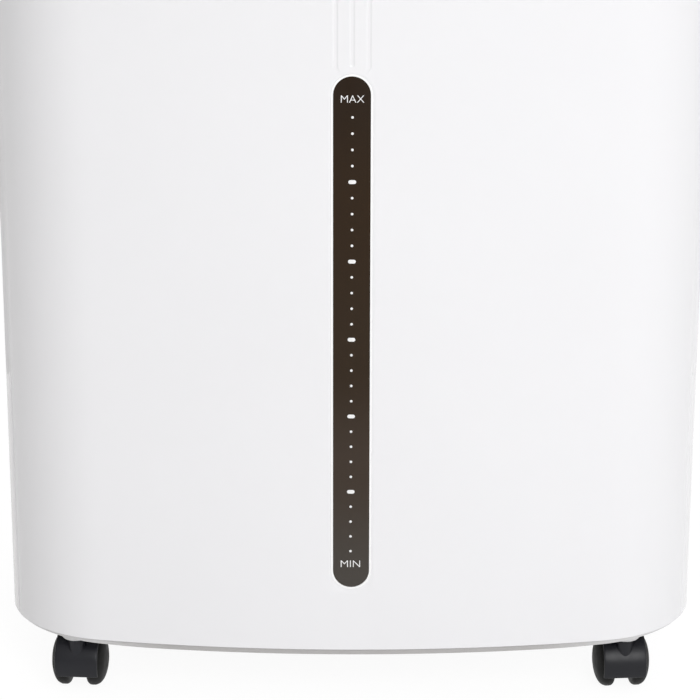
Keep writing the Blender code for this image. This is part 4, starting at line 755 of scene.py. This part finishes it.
def make_rear_housing():
    """The housing round the sides and back, with its scoops, grips and the openings in the back."""
    start, end = SEAM + SEAM_GAP / 2, WHOLE_PLAN - SEAM - SEAM_GAP / 2
    e = SEAM_ROUND
    scoop = 2 * SCOOP_HALF + 2 * MM
    half_us = steps(
        (start, e / 4),
        (start + e, 0.9 * MM),
        (start + scoop, 2 * MM),
        (CORNER_END, 8 * MM),
        (SIDE_END, 2 * MM),
        (TURN_END, 8 * MM),
        end=HALF_PLAN,
    )
    vs = steps(
        (PANEL_LOW, e / 4),
        (PANEL_LOW + e, 8 * MM),
        (SCOOP_LOW - 16 * MM, 0.9 * MM),
        (SCOOP_LOW + 3 * MM, 10 * MM),
        (SCOOP_HIGH - 3 * MM, 1.2 * MM),
        (SCOOP_HIGH + 16 * MM, 6 * MM),
        (PANEL_HIGH - e, e / 4),
        end=PANEL_HIGH,
    )
    gap = 0.8 * MM
    tank = (TANK_LOW.x - gap, TANK_HIGH.x + gap), (TANK_LOW.z - gap, TANK_HIGH.z + 3.4 * MM)
    grille = (FILTER_LOW.x - gap, FILTER_HIGH.x + gap), (FILTER_LOW.z - gap, FILTER_HIGH.z + gap)
    (_, y0, z0), (_, y1, z1) = GRIP_BOX
    near, far = CORNER_END - CORNER_Y + y0, CORNER_END - CORNER_Y + y1
    grip = z0, z1, GRIP_ROUND, 4 * MM
    openings = [
        back_opening(*tank, 5 * MM),
        back_opening(*grille, 4 * MM),
        back_round("cord_gland", 7.3 * MM),
        back_round("drain_cap", 6.2 * MM),
        (near, far, *grip),
        (WHOLE_PLAN - far, WHOLE_PLAN - near, *grip),
    ]
    u, v, edge, faces = sheet(doubled(half_us, HALF_PLAN), vs, openings)
    rim = np.minimum(np.minimum(v - PANEL_LOW, PANEL_HIGH - v), np.minimum(u - start, end - u))
    depth = edge_round(rim, e) + np.where(edge < FAR, edge_round(edge, 0.6 * MM), 0)
    depth += np.maximum(scoop_relief(u - start, v), scoop_relief(end - u, v))
    skin("rear_housing", u, v, depth, faces)
    make_grips()


GRIPS = [box for box in frame["record"]["physics"]["openings"] if box["name"] == "grip_right"]
GRIP_BOX = GRIPS[0]["box_m"]
GRIP_ROUND = 9 * MM


def back_opening(x, z, radius):
    """An opening in the flat back, whose way round the plan runs against x."""
    return HALF_PLAN - x[1], HALF_PLAN - x[0], *z, radius, 3 * MM


def back_round(node, radius):
    """A round opening in the back about a piece."""
    x, _, z = middle(node)
    return back_opening((x - radius, x + radius), (z - radius, z + radius), radius)


def make_grips():
    """The hand grips' pockets: rounded cups whose section shrinks a little towards the bottom."""
    (_, y0, z0), (_, y1, z1) = GRIP_BOX
    turn = np.linspace(0, 2 * math.pi, 72, endpoint=False)
    profile = [(0.4, 0), (1.2, 0.3), (6, 0.8), (10, 1.4), (12.4, 3), (13.2, 5.5), (13.2, 9)]
    profile += [(14.8, 9), (14.8, 4), (13.6, 0.5), (11, -0.8), (6, -1.2), (2.9, -1.6), (2.6, -1.6)]
    for side, word in ((-1, "left"), (1, "right")):
        rings = []
        for depth, shrink in np.array(profile) * MM:
            half_y, half_z = (y1 - y0) / 2 - shrink, (z1 - z0) / 2 - shrink
            y, z = rounded_ring(turn, half_y, half_z, GRIP_ROUND - 0.6 * shrink).T
            x = np.full(len(turn), side * (HALF_WIDTH - depth))
            rings.append(np.stack([x, y, (z0 + z1) / 2 + z], 1))
        closed_piece(f"side_grip_{word}", tubular(rings), WHITE)


def rounded_ring(turn, half_a, half_b, radius):
    """A rounded rectangle: its inner rectangle's corner for each quarter, plus a circle."""
    radius = min(radius, half_a - 1e-4, half_b - 1e-4)
    a = np.where(np.cos(turn) >= 0, 1, -1) * (half_a - radius) + radius * np.cos(turn)
    b = np.where(np.sin(turn) >= 0, 1, -1) * (half_b - radius) + radius * np.sin(turn)
    return np.stack([a, b], 1)


# ---------------- top cover
def plan_ring(inset, z):
    """A ring of points round the plan, closer together in the corners."""
    half = steps(
        (0, 6 * MM),
        (BOW_END, 2.4 * MM),
        (CORNER_END, 9 * MM),
        (SIDE_END, 1.8 * MM),
        (TURN_END, 9 * MM),
        end=HALF_PLAN,
    )
    x, y = plan(doubled(half, HALF_PLAN)[:-1], inset)
    return np.stack([x, y, np.full_like(x, z)], 1)


def make_top_cover():
    """The cover: the plan's rings carried up the side, over a rounded shoulder onto the top, and cut."""
    seam, top = COVER_LOW, COVER_HIGH
    shoulder = 14 * MM
    outer = [(0.9 * MM, seam), (0.25 * MM, seam + 0.1 * MM), (0.0, seam + 0.7 * MM), (0.0, top - 17 * MM)]
    outer += [(shoulder * a, top - 16 * MM * b) for a, b in quarter(12)]
    outer += [(shoulder + 2 * MM, top)]
    inner = [(shoulder + 2 * MM, top - WALL)]
    inner += [(WALL + (shoulder - WALL) * a, top - WALL - shoulder * b) for a, b in quarter(12)[::-1]]
    inner += [(WALL, seam + 0.1 * MM), (2.3 * MM, seam)]
    rings = [plan_ring(inset, z) for inset, z in outer + inner]
    points, faces = tubular(rings, capped=False)
    around = len(rings[0])
    top_ring = (len(outer) - 1) * around
    bridge = range(top_ring, top_ring + around)
    faces = [f for f in faces if not (min(f) in bridge and max(f) >= top_ring + around)]
    faces.append(list(bridge))
    faces.append(list(range(top_ring + around, top_ring + 2 * around))[::-1])
    cover = outward(mesh_object("top_cover_shell", points, faces, 30))
    gap = 0.35 * MM
    throat = (-95 * MM, 95 * MM), (FLAP_LOW.y - 0.7 * MM, FLAP_HIGH.y + 2.2 * MM)
    seat = (FASCIA_LOW.x - gap, FASCIA_HIGH.x + gap), (FASCIA_LOW.y - gap, FASCIA_HIGH.y + gap)
    for x, y, radius in ((*throat, 3 * MM), (*seat, 4 * MM)):
        cut_through(cover, stacked(x, y, radius, [(top - 12 * MM, 0), (top + 8 * MM, 0)]))
    clad(cover, COVER_WHITE, "top_cover")
    make_throat(throat)
    make_fascia_seat(seat)


def stacked(x, y, radius, levels, around=40, capped=True):
    """Rings round a rounded rectangle, one for each (height, reach past it): a box, or uncapped a duct."""
    turn = (np.arange(around) + 0.5) / around * 2 * math.pi
    rings = []
    for z, out in levels:
        ring = rounded_ring(turn, (x[1] - x[0]) / 2 + out, (y[1] - y[0]) / 2 + out, radius + out)
        rings.append(np.column_stack([ring + [(x[0] + x[1]) / 2, (y[0] + y[1]) / 2], np.full(around, z)]))
    return tubular(rings, capped)


def cut_through(target, solid):
    """Cuts a solid out of a shell."""
    tool = outward(mesh_object("hole_tool", *solid))
    cutter = target.modifiers.new("hole", "BOOLEAN")
    cutter.operation = "DIFFERENCE"
    cutter.solver = "EXACT"
    cutter.object = tool
    graph = bpy.context.evaluated_depsgraph_get()
    target.data = bpy.data.meshes.new_from_object(target.evaluated_get(graph))
    target.modifiers.clear()
    bpy.data.objects.remove(tool, do_unlink=True)
    target.data.shade_smooth()
    target.data.set_sharp_from_angle(angle=math.radians(30))


def make_throat(throat):
    """The outlet duct under the flap, with the cross vanes that steer the air."""
    low, high = COVER_HIGH - 33 * MM, COVER_HIGH - 2.7 * MM
    levels = [(high, 0.1 * MM), (low + 0.3 * MM, 0.1 * MM), (low, 0.5 * MM), (low, 2 * MM)]
    levels += [(low + 0.4 * MM, 2.4 * MM), (high, 2.4 * MM)]
    parts = [stacked(*throat, 3 * MM, levels, capped=False)]
    y = throat[1][0] - 1 * MM, throat[1][1] + 1 * MM
    for x in np.linspace(-66, 66, 5) * MM:
        heights = [(low + 2 * MM, 0), (low + 13 * MM, 0)]
        parts.append(stacked((x - 0.8 * MM, x + 0.8 * MM), y, 0.3 * MM, heights, around=8))
    closed_piece("outlet_duct", merged(parts), GREY, slot="grey_plastic")


def make_fascia_seat(seat):
    """The ledge that the fascia lies on: a duct's wall with a step turned inwards."""
    top, high = FASCIA_LOW.z, COVER_HIGH - 2.7 * MM
    levels = [(high, 0.1 * MM), (top - 0.3 * MM, 0.1 * MM), (top - 0.3 * MM, -3 * MM)]
    levels += [(top - 2.4 * MM, -3 * MM), (top - 2.4 * MM, 2 * MM), (high, 2 * MM)]
    closed_piece("fascia_ledge", stacked(*seat, 4 * MM, levels, capped=False), WHITE)


# ---------------- base pan
def make_base_pan():
    """The pan: the plan's rings carried round the rim's foot, up the inner wall and down onto the floor."""
    low, under = RIM_LOW, PAN_UNDER
    floor = under + 3 * MM
    rim_out, rim_in = 1.5 * MM, 4 * MM
    lip = under + 19.3 * MM
    profile = [(rim_in + 3 * MM, under), (rim_in + 0.4 * MM, under), (rim_in, under - 0.4 * MM)]
    profile += [(rim_in, low + 0.5 * MM), (rim_in - 0.5 * MM, low), (rim_out + 0.6 * MM, low)]
    profile += [(rim_out + 0.15 * MM, low + 0.2 * MM), (rim_out, low + 0.7 * MM)]
    profile += [(rim_out, under - 0.1 * MM), (3 * MM, under), (3 * MM, lip - 0.3 * MM), (3.5 * MM, lip)]
    profile += [(5.2 * MM, lip), (5.2 * MM, floor + 1 * MM), (6.2 * MM, floor), (12 * MM, floor)]

    def level(inset, z):
        """A ring of the plan, whose foot rises towards the corners."""
        ring = plan_ring(inset, z)
        if z < under - 1 * MM:
            ring[:, 2] += 1.9 * MM * soft_step((np.abs(ring[:, 0]) - 110 * MM) / (78 * MM))
        return ring

    parts = [tubular([level(inset, z) for inset, z in profile])]
    for side in (-1, 1):
        rail = ((side * 80 - 2) * MM, (side * 80 + 2) * MM), (-105 * MM, REAR_Y - 8 * MM)
        parts.append(stacked(*rail, 1 * MM, [(floor - 1 * MM, 0), (TANK_LOW.z - 0.3 * MM, 0)]))
    for corner in CORNERS:
        x, y, _ = middle(f"castor_{corner}_stem")
        foot = low - 0.5 * MM
        seat = [(under + 0.6 * MM, 5.6 * MM), (foot, 5.6 * MM), (foot, 7.6 * MM)]
        seat += [(foot + 0.8 * MM, 8.3 * MM), (under + 0.6 * MM, 8.6 * MM)]
        parts.append(turned(seat, (x, y, 0), around=40, closed=True))
        low_end, high_end = floor - 1 * MM, STEM_TOP + 3.2 * MM
        socket = [(low_end, 0), (low_end, 6.6 * MM), (STEM_TOP + 3 * MM, 6.2 * MM)]
        socket += [(high_end, 5.8 * MM), (high_end, 0)]
        parts.append(turned(socket, (x, y, 0), around=32))
    closed_piece("base_pan_moulding", merged(parts), PAN_PAINTED_SHADE, "base_pan")


# ---------------- castors
CORNERS = ("front_left", "front_right", "rear_left", "rear_right")
HOOD_REACH = math.radians(109)
HOOD_GAP = 1.6 * MM  # between the tread and the hood's outside
HOOD_HALF = half_across("castor_rear_left_hood")
BOSS_TOP = PAN_UNDER - 1.6 * MM


def toe_of(corner):
    """How far a castor rests turned: the angle of its wheels' axis."""
    axis = next(j["axis"] for j in frame["joints"] if j["name"] == f"roll_{corner}_left")
    return math.atan2(axis[1], axis[0])


def set_down(points, corner):
    """Points worked out about an axle along X, turned to the castor's rest and put at its axle."""
    points = np.asarray(points, float)
    turn = toe_of(corner)
    x = points[:, 0] * math.cos(turn) - points[:, 1] * math.sin(turn)
    y = points[:, 0] * math.sin(turn) + points[:, 1] * math.cos(turn)
    return np.stack([x, y, points[:, 2]], 1) + np.array(middle(f"castor_{corner}_axle"))


def hood_shell(radius, wall):
    """The hood: a part of a barrel round the axle, crowned across, with rounded edges."""
    e = 0.6 * MM
    reach = HOOD_REACH * radius
    spans = (steps((-h, e / 4), (-h + e, 1.2 * MM), (h - e, e / 4), end=h) for h in (reach, HOOD_HALF))
    u, v, _, faces = sheet(*spans)
    depth = edge_round(np.minimum(HOOD_HALF - np.abs(v), reach - np.abs(u)), e)
    depth += 0.3 * MM * (v / HOOD_HALF) ** 4
    sine, cosine = np.sin(u / radius), np.cos(u / radius)
    skins = [np.stack([v, -r * sine, r * cosine], 1) for r in (radius - depth, radius - wall)]
    points, faces = wrapped(*skins, faces)
    return points, faces.tolist()


def web_plate(radius, half):
    """The plate between the wheels: a disc sector with a rounded rim, which runs to behind the axle."""
    angle = np.linspace(-HOOD_REACH, HOOD_REACH, 60)
    rings = []
    e = 0.3 * MM
    for r, x in ((radius - e, -half), (radius, e - half), (radius, half - e), (radius - e, half)):
        rim = np.stack([np.full_like(angle, x), -r * np.sin(angle), r * np.cos(angle)], 1)
        heel = np.array([[x, -r * 0.25, -r * 0.32], [x, 0, -r * 0.36], [x, r * 0.25, -r * 0.32]])
        rings.append(np.concatenate([rim, heel]))
    return tubular(rings)


def make_castors():
    """One castor's pieces are worked out about the axle, then set down at each corner on its bodies."""
    hub = rounded_profile([(-4.4 * MM, 0), (-4.4 * MM, 5.5 * MM), (4.4 * MM, 5.5 * MM), (4.4 * MM, 0)])
    for corner in CORNERS:
        castor = f"castor_{corner}"
        axle = middle(castor + "_axle")
        stem = middle(castor + "_stem")
        ahead = -math.hypot(stem.x - axle.x, stem.y - axle.y)
        radius = axle.z + HOOD_GAP
        top = BOSS_TOP - axle.z
        boss = [(4 * MM, 3.5 * MM), (4 * MM, 4.75 * MM), (top, 4.6 * MM), (top, 3.3 * MM)]
        boss = [(4 * MM, 0), *rounded_profile(boss, 0.5 * MM), (top, 0)]
        parts = [
            hood_shell(radius, 1.0 * MM),
            web_plate(radius - 0.6 * MM, 4.3 * MM),
            turned(boss, (0, ahead, 0), around=48),
            turned(hub, axis="X", around=32),
        ]
        points, faces = merged(parts)
        hood = set_down(points, corner), faces
        closed_piece(castor + "_hood_shell", hood, NYLON, castor + "_hood", smooth=40, body=castor)
        for side, word in ((-1, "left"), (1, "right")):
            make_wheel(corner, side, word, axle.z)


def make_wheel(corner, side, word, radius):
    """A wheel turned from its profile: a bored hub, a rounded tread, and half an ellipse as its face.

    The face bulges at the hub and meets the tread's rounding, and a stepped ring runs round the hub.
    """
    inner, outer, bulge, round_off = 4.9 * MM, 15.9 * MM, 6.0 * MM, 2.6 * MM
    t = np.sin(np.linspace(math.radians(80), 0, 14))
    heights = outer - bulge * (1 - np.sqrt(1 - t**2))
    radii = t * (radius - 0.4 * MM)
    step = 0.16 * MM * ((radii > 5.4 * MM) & (radii < 6.6 * MM))
    face = np.stack([heights - step, radii], 1)[:-1]
    shoulder = [(inner + round_off * a, radius - round_off * b) for a, b in quarter(7)]
    profile = [(inner + 3 * MM, 0.0), (inner + 3 * MM, 2.3 * MM), (inner, 2.3 * MM), (inner, 5 * MM)]
    profile += [(inner + 1.4 * MM, 5.6 * MM), (inner + 1.4 * MM, radius - 5 * MM)]
    profile += [(inner, radius - 4.2 * MM), *shoulder, (inner + 4.6 * MM, radius - 0.02 * MM)]
    profile += [*face.tolist(), (outer, 0.0)]
    points, faces = turned([(side * h, r) for h, r in profile], axis="X", around=64)
    wheel = set_down(points, corner), faces
    body, node = f"wheel_{corner}_{word}", f"castor_{corner}_wheel_{word}"
    closed_piece(f"castor_{corner}_tyre_{word}", wheel, TYRE, node, smooth=32, body=body)


# ---------------- pieces refined from their CAD solids
# the flat faces of these have holes and keep their triangles
PIERCED = ("filter_frame", "control_board", "window_gasket")


def refined(node, width, body="cabinet"):
    """A CAD solid with its edges rounded: flat neighbours are joined, then sharp edges get a bevel."""
    angle = math.radians(35)
    work = bmesh.new()
    work.from_mesh(frame["nodes"][node].data)
    bmesh.ops.remove_doubles(work, verts=work.verts, dist=2e-6)
    if node not in PIERCED:
        bmesh.ops.dissolve_limit(work, angle_limit=math.radians(1.0), verts=work.verts, edges=work.edges)
    mesh = bpy.data.meshes.new(node + "_fine")
    work.to_mesh(mesh)
    work.free()
    piece = linked(node + "_fine", mesh)
    mesh.shade_smooth()
    mesh.set_sharp_from_angle(angle=angle)
    bevel = piece.modifiers.new("soft edges", "BEVEL")
    bevel.width = width
    bevel.segments = 3
    bevel.limit_method = "ANGLE"
    bevel.angle_limit = angle
    bevel.harden_normals = True
    finish = COVER_WHITE if node == "outlet_flap" else FINISH_OF_SLOT[SLOT_OF[node]]
    clad(piece, finish, node, body)


def make_refined():
    """The pieces whose CAD solids only need their edges rounded, with their bevels and moving bodies."""
    for node, width, *body in (
        ("outlet_flap", 0.8, "flap"),
        ("water_tank", 1.2, "tank"),
        ("tank_lid", 0.6, "tank"),
        ("tank_pull", 1.2, "pull"),
        ("float_arm", 0.8, "float"),
        ("filter_mesh", 0.4, "filter"),
        ("drain_cap", 0.5, "cap"),
        ("cord_gland", 0.5),
        ("control_box", 2.0),
        ("level_switch", 0.8),
        ("drip_tray", 0.6),
        ("machine_deck", 0.3),
        ("fan_scroll", 0.6),
        ("filter_frame", 0.7, "filter"),
        ("fan_impeller", 0.4, "impeller"),
        ("control_board", 0.3),
        ("window_gasket", 0.15),
        ("compressor", 3.0),
        ("accumulator", 2.0),
        ("fan_motor", 1.0),
    ):
        refined(node, width * MM, *body)


# ---------------- controls
WORDS = ("power", "mode", "speed", "timer", "humidity")


def make_controls():
    """The fascia with its round button holes, the dished buttons and their small lamps."""
    centres = [middle(f"{word}_button") for word in WORDS]
    (x0, y0, _), (x1, y1, _) = FASCIA_LOW, FASCIA_HIGH
    hole = half_across("mode_button") + 0.35 * MM
    openings = [(c.x - hole, c.x + hole, c.y - hole, c.y + hole, hole, 2 * MM) for c in centres]
    us, vs = steps((x0, 2.2 * MM), end=x1), steps((y0, 2.2 * MM), end=y1)
    u, v, edge, faces = sheet(us, vs, openings)
    corner = 4 * MM
    mid_x, mid_y, half_x, half_y = (x0 + x1) / 2, (y0 + y1) / 2, (x1 - x0) / 2, (y1 - y0) / 2
    ax, ay = np.abs(u - mid_x) - half_x + corner, np.abs(v - mid_y) - half_y + corner
    outside = np.hypot(np.maximum(ax, 0), np.maximum(ay, 0))
    far = np.maximum(np.maximum(ax, ay), 1e-9)
    turn = np.where((ax > 0) & (ay > 0), far / np.maximum(outside, 1e-9), 1)
    x = mid_x + np.sign(u - mid_x) * (half_x - corner + np.where(ax > 0, ax * turn, ax))
    y = mid_y + np.sign(v - mid_y) * (half_y - corner + np.where(ay > 0, ay * turn, ay))
    rim = corner - np.where((ax > 0) & (ay > 0), far, np.maximum(ax, ay))
    depth = edge_round(rim, 0.5 * MM) + np.where(edge < FAR, edge_round(edge, 0.3 * MM), 0)
    outer = np.stack([x, y, FASCIA_HIGH.z - depth], 1)
    inner = np.stack([x, y, np.full_like(x, FASCIA_LOW.z)], 1)
    closed_piece("fascia_plate", wrapped(outer, inner, faces), FASCIA, "control_fascia")
    glow = np.array([(-1, 0), (-1, 1), (0, 1), (0.25, 0.7), (0.35, 0.3), (0.37, 0)]) * MM
    lamps = []
    for word, centre in zip(WORDS, centres):
        button = f"{word}_button"
        low, high = (corner.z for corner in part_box(button))
        radius = half_across(button)
        dip, e = 0.35 * MM, 0.7 * MM
        crown = [(high - e * b, radius - e * a) for a, b in quarter(6)]
        slope = np.linspace(1, 0.02, 9)
        dish = [(high - dip * math.cos(math.pi / 2 * t) ** 2, radius * 0.8 * t) for t in slope]
        profile = [(low, 0), (low, radius), *crown, *dish, (high - dip, 0)]
        cap = turned(profile, (centre.x, centre.y, 0), around=64)
        closed_piece(f"{word}_cap", cap, BUTTON, button, smooth=40, body=button)
        lamps.append(turned(glow, (centre.x, centre.y + 14 * MM, FASCIA_HIGH.z), around=24))
    closed_piece("indicator_lamps", merged(lamps), PRINT)


# ---------------- stage
def any_ray(tree, *kinds):
    """1 where a ray is of any of these kinds, else 0."""
    path = tree.nodes.new("ShaderNodeLightPath")
    found = path.outputs[kinds[0]]
    for kind in kinds[1:]:
        found = reckoned(tree, "MAXIMUM", found, path.outputs[kind])
    return found


def make_stage():
    """A pale floor, a soft sky and soft lamps."""
    world = bpy.data.worlds.new("studio")
    bpy.context.scene.world = world
    world.use_nodes = True
    tree = world.node_tree
    tree.nodes.clear()
    place = tree.nodes.new("ShaderNodeTexCoord").outputs["Generated"]
    side = share_between(tree, along_axis(tree, "X", place), -1.0, 1.0)
    sky = eased(tree, side, (0.06, (0.36, 0.34, 0.32)), (0.36, (1.0, 0.995, 0.99)))
    lit = wired(tree, "Background", {"Color": sky, "Strength": 0.62})
    seen = wired(tree, "Background", {"Color": (1, 1, 1, 1), "Strength": 1.0})
    mixed = blended(tree, any_ray(tree, "Is Camera Ray", "Is Transmission Ray"), lit, seen)
    wired(tree, "OutputWorld", {"Surface": mixed})

    reach = 9.0
    corners = [(-reach, -reach, 0), (reach, -reach, 0), (reach, reach, 0), (-reach, reach, 0)]
    floor_mesh = bpy.data.meshes.new("floor")
    floor_mesh.from_pydata(corners, [], [(0, 1, 2, 3)])
    floor_mesh.materials.append(floor_finish())
    linked("floor", floor_mesh)

    for name, place, target, size, power in (
        ("key", (0.96, -3.09, 1.95), (0, 0, 0.35), 1.7, 58),
        ("back", (0.3, 2.4, 2.2), (0, 0, 0.4), 1.8, 14),
    ):
        lamp = bpy.data.lights.new(name, "AREA")
        lamp.shape = "SQUARE"
        lamp.size = size
        lamp.energy = power
        aim(linked(name, lamp), place, Vector(target) - Vector(place))


def aim(holder, place, ahead, roll=0.0):
    """Puts a lamp or the camera at a place, looking ahead and rolled about its own line of sight."""
    holder.location = place
    holder.rotation_mode = "QUATERNION"
    level = ahead.to_track_quat("-Z", "Y")
    holder.rotation_quaternion = level @ Matrix.Rotation(roll, 3, "Z").to_quaternion()


def floor_finish():
    """White paper, which eyes, mirrors and glass see as nearly plain white under a faint shadow."""
    finish, tree, shader = nodes_for("paper_floor")
    feed(shader, {"Base Color": (0.9, 0.9, 0.9, 1), "Roughness": 0.9, "Specular IOR Level": 0.1})
    glow = wired(tree, "Emission", {"Color": (1, 1, 1, 1), "Strength": 1.07})
    seen = any_ray(tree, "Is Camera Ray", "Is Glossy Ray", "Is Transmission Ray")
    mixed = blended(tree, reckoned(tree, "MULTIPLY", seen, 0.87), shader, glow)
    feed(tree.nodes["Material Output"], {"Surface": mixed})
    return finish


def make_camera():
    """The camera stands 1.31 m in front of the panel, looks down by 17 degrees and sees a narrow angle."""
    lens = bpy.data.cameras.new("camera")
    lens.sensor_width = 36
    lens.lens = 132.26
    lens.clip_start = 0.05
    camera = linked("camera", lens)
    pitch, yaw, roll = (math.radians(a) for a in (16.673, 0.047, 0.116))
    ahead = Vector((math.sin(yaw) * math.cos(pitch), math.cos(yaw) * math.cos(pitch), -math.sin(pitch)))
    aim(camera, (-1.85 * MM, FRONT_Y - 1.3139, PANEL_LOW + 0.56657), ahead, roll)
    bpy.context.scene.camera = camera
    bpy.context.scene.view_settings.view_transform = "Standard"


make_stage()
make_camera()
finish_frame()
make_front_panel()
make_window()
make_rear_housing()
make_top_cover()
make_base_pan()
make_castors()
make_controls()
make_refined()
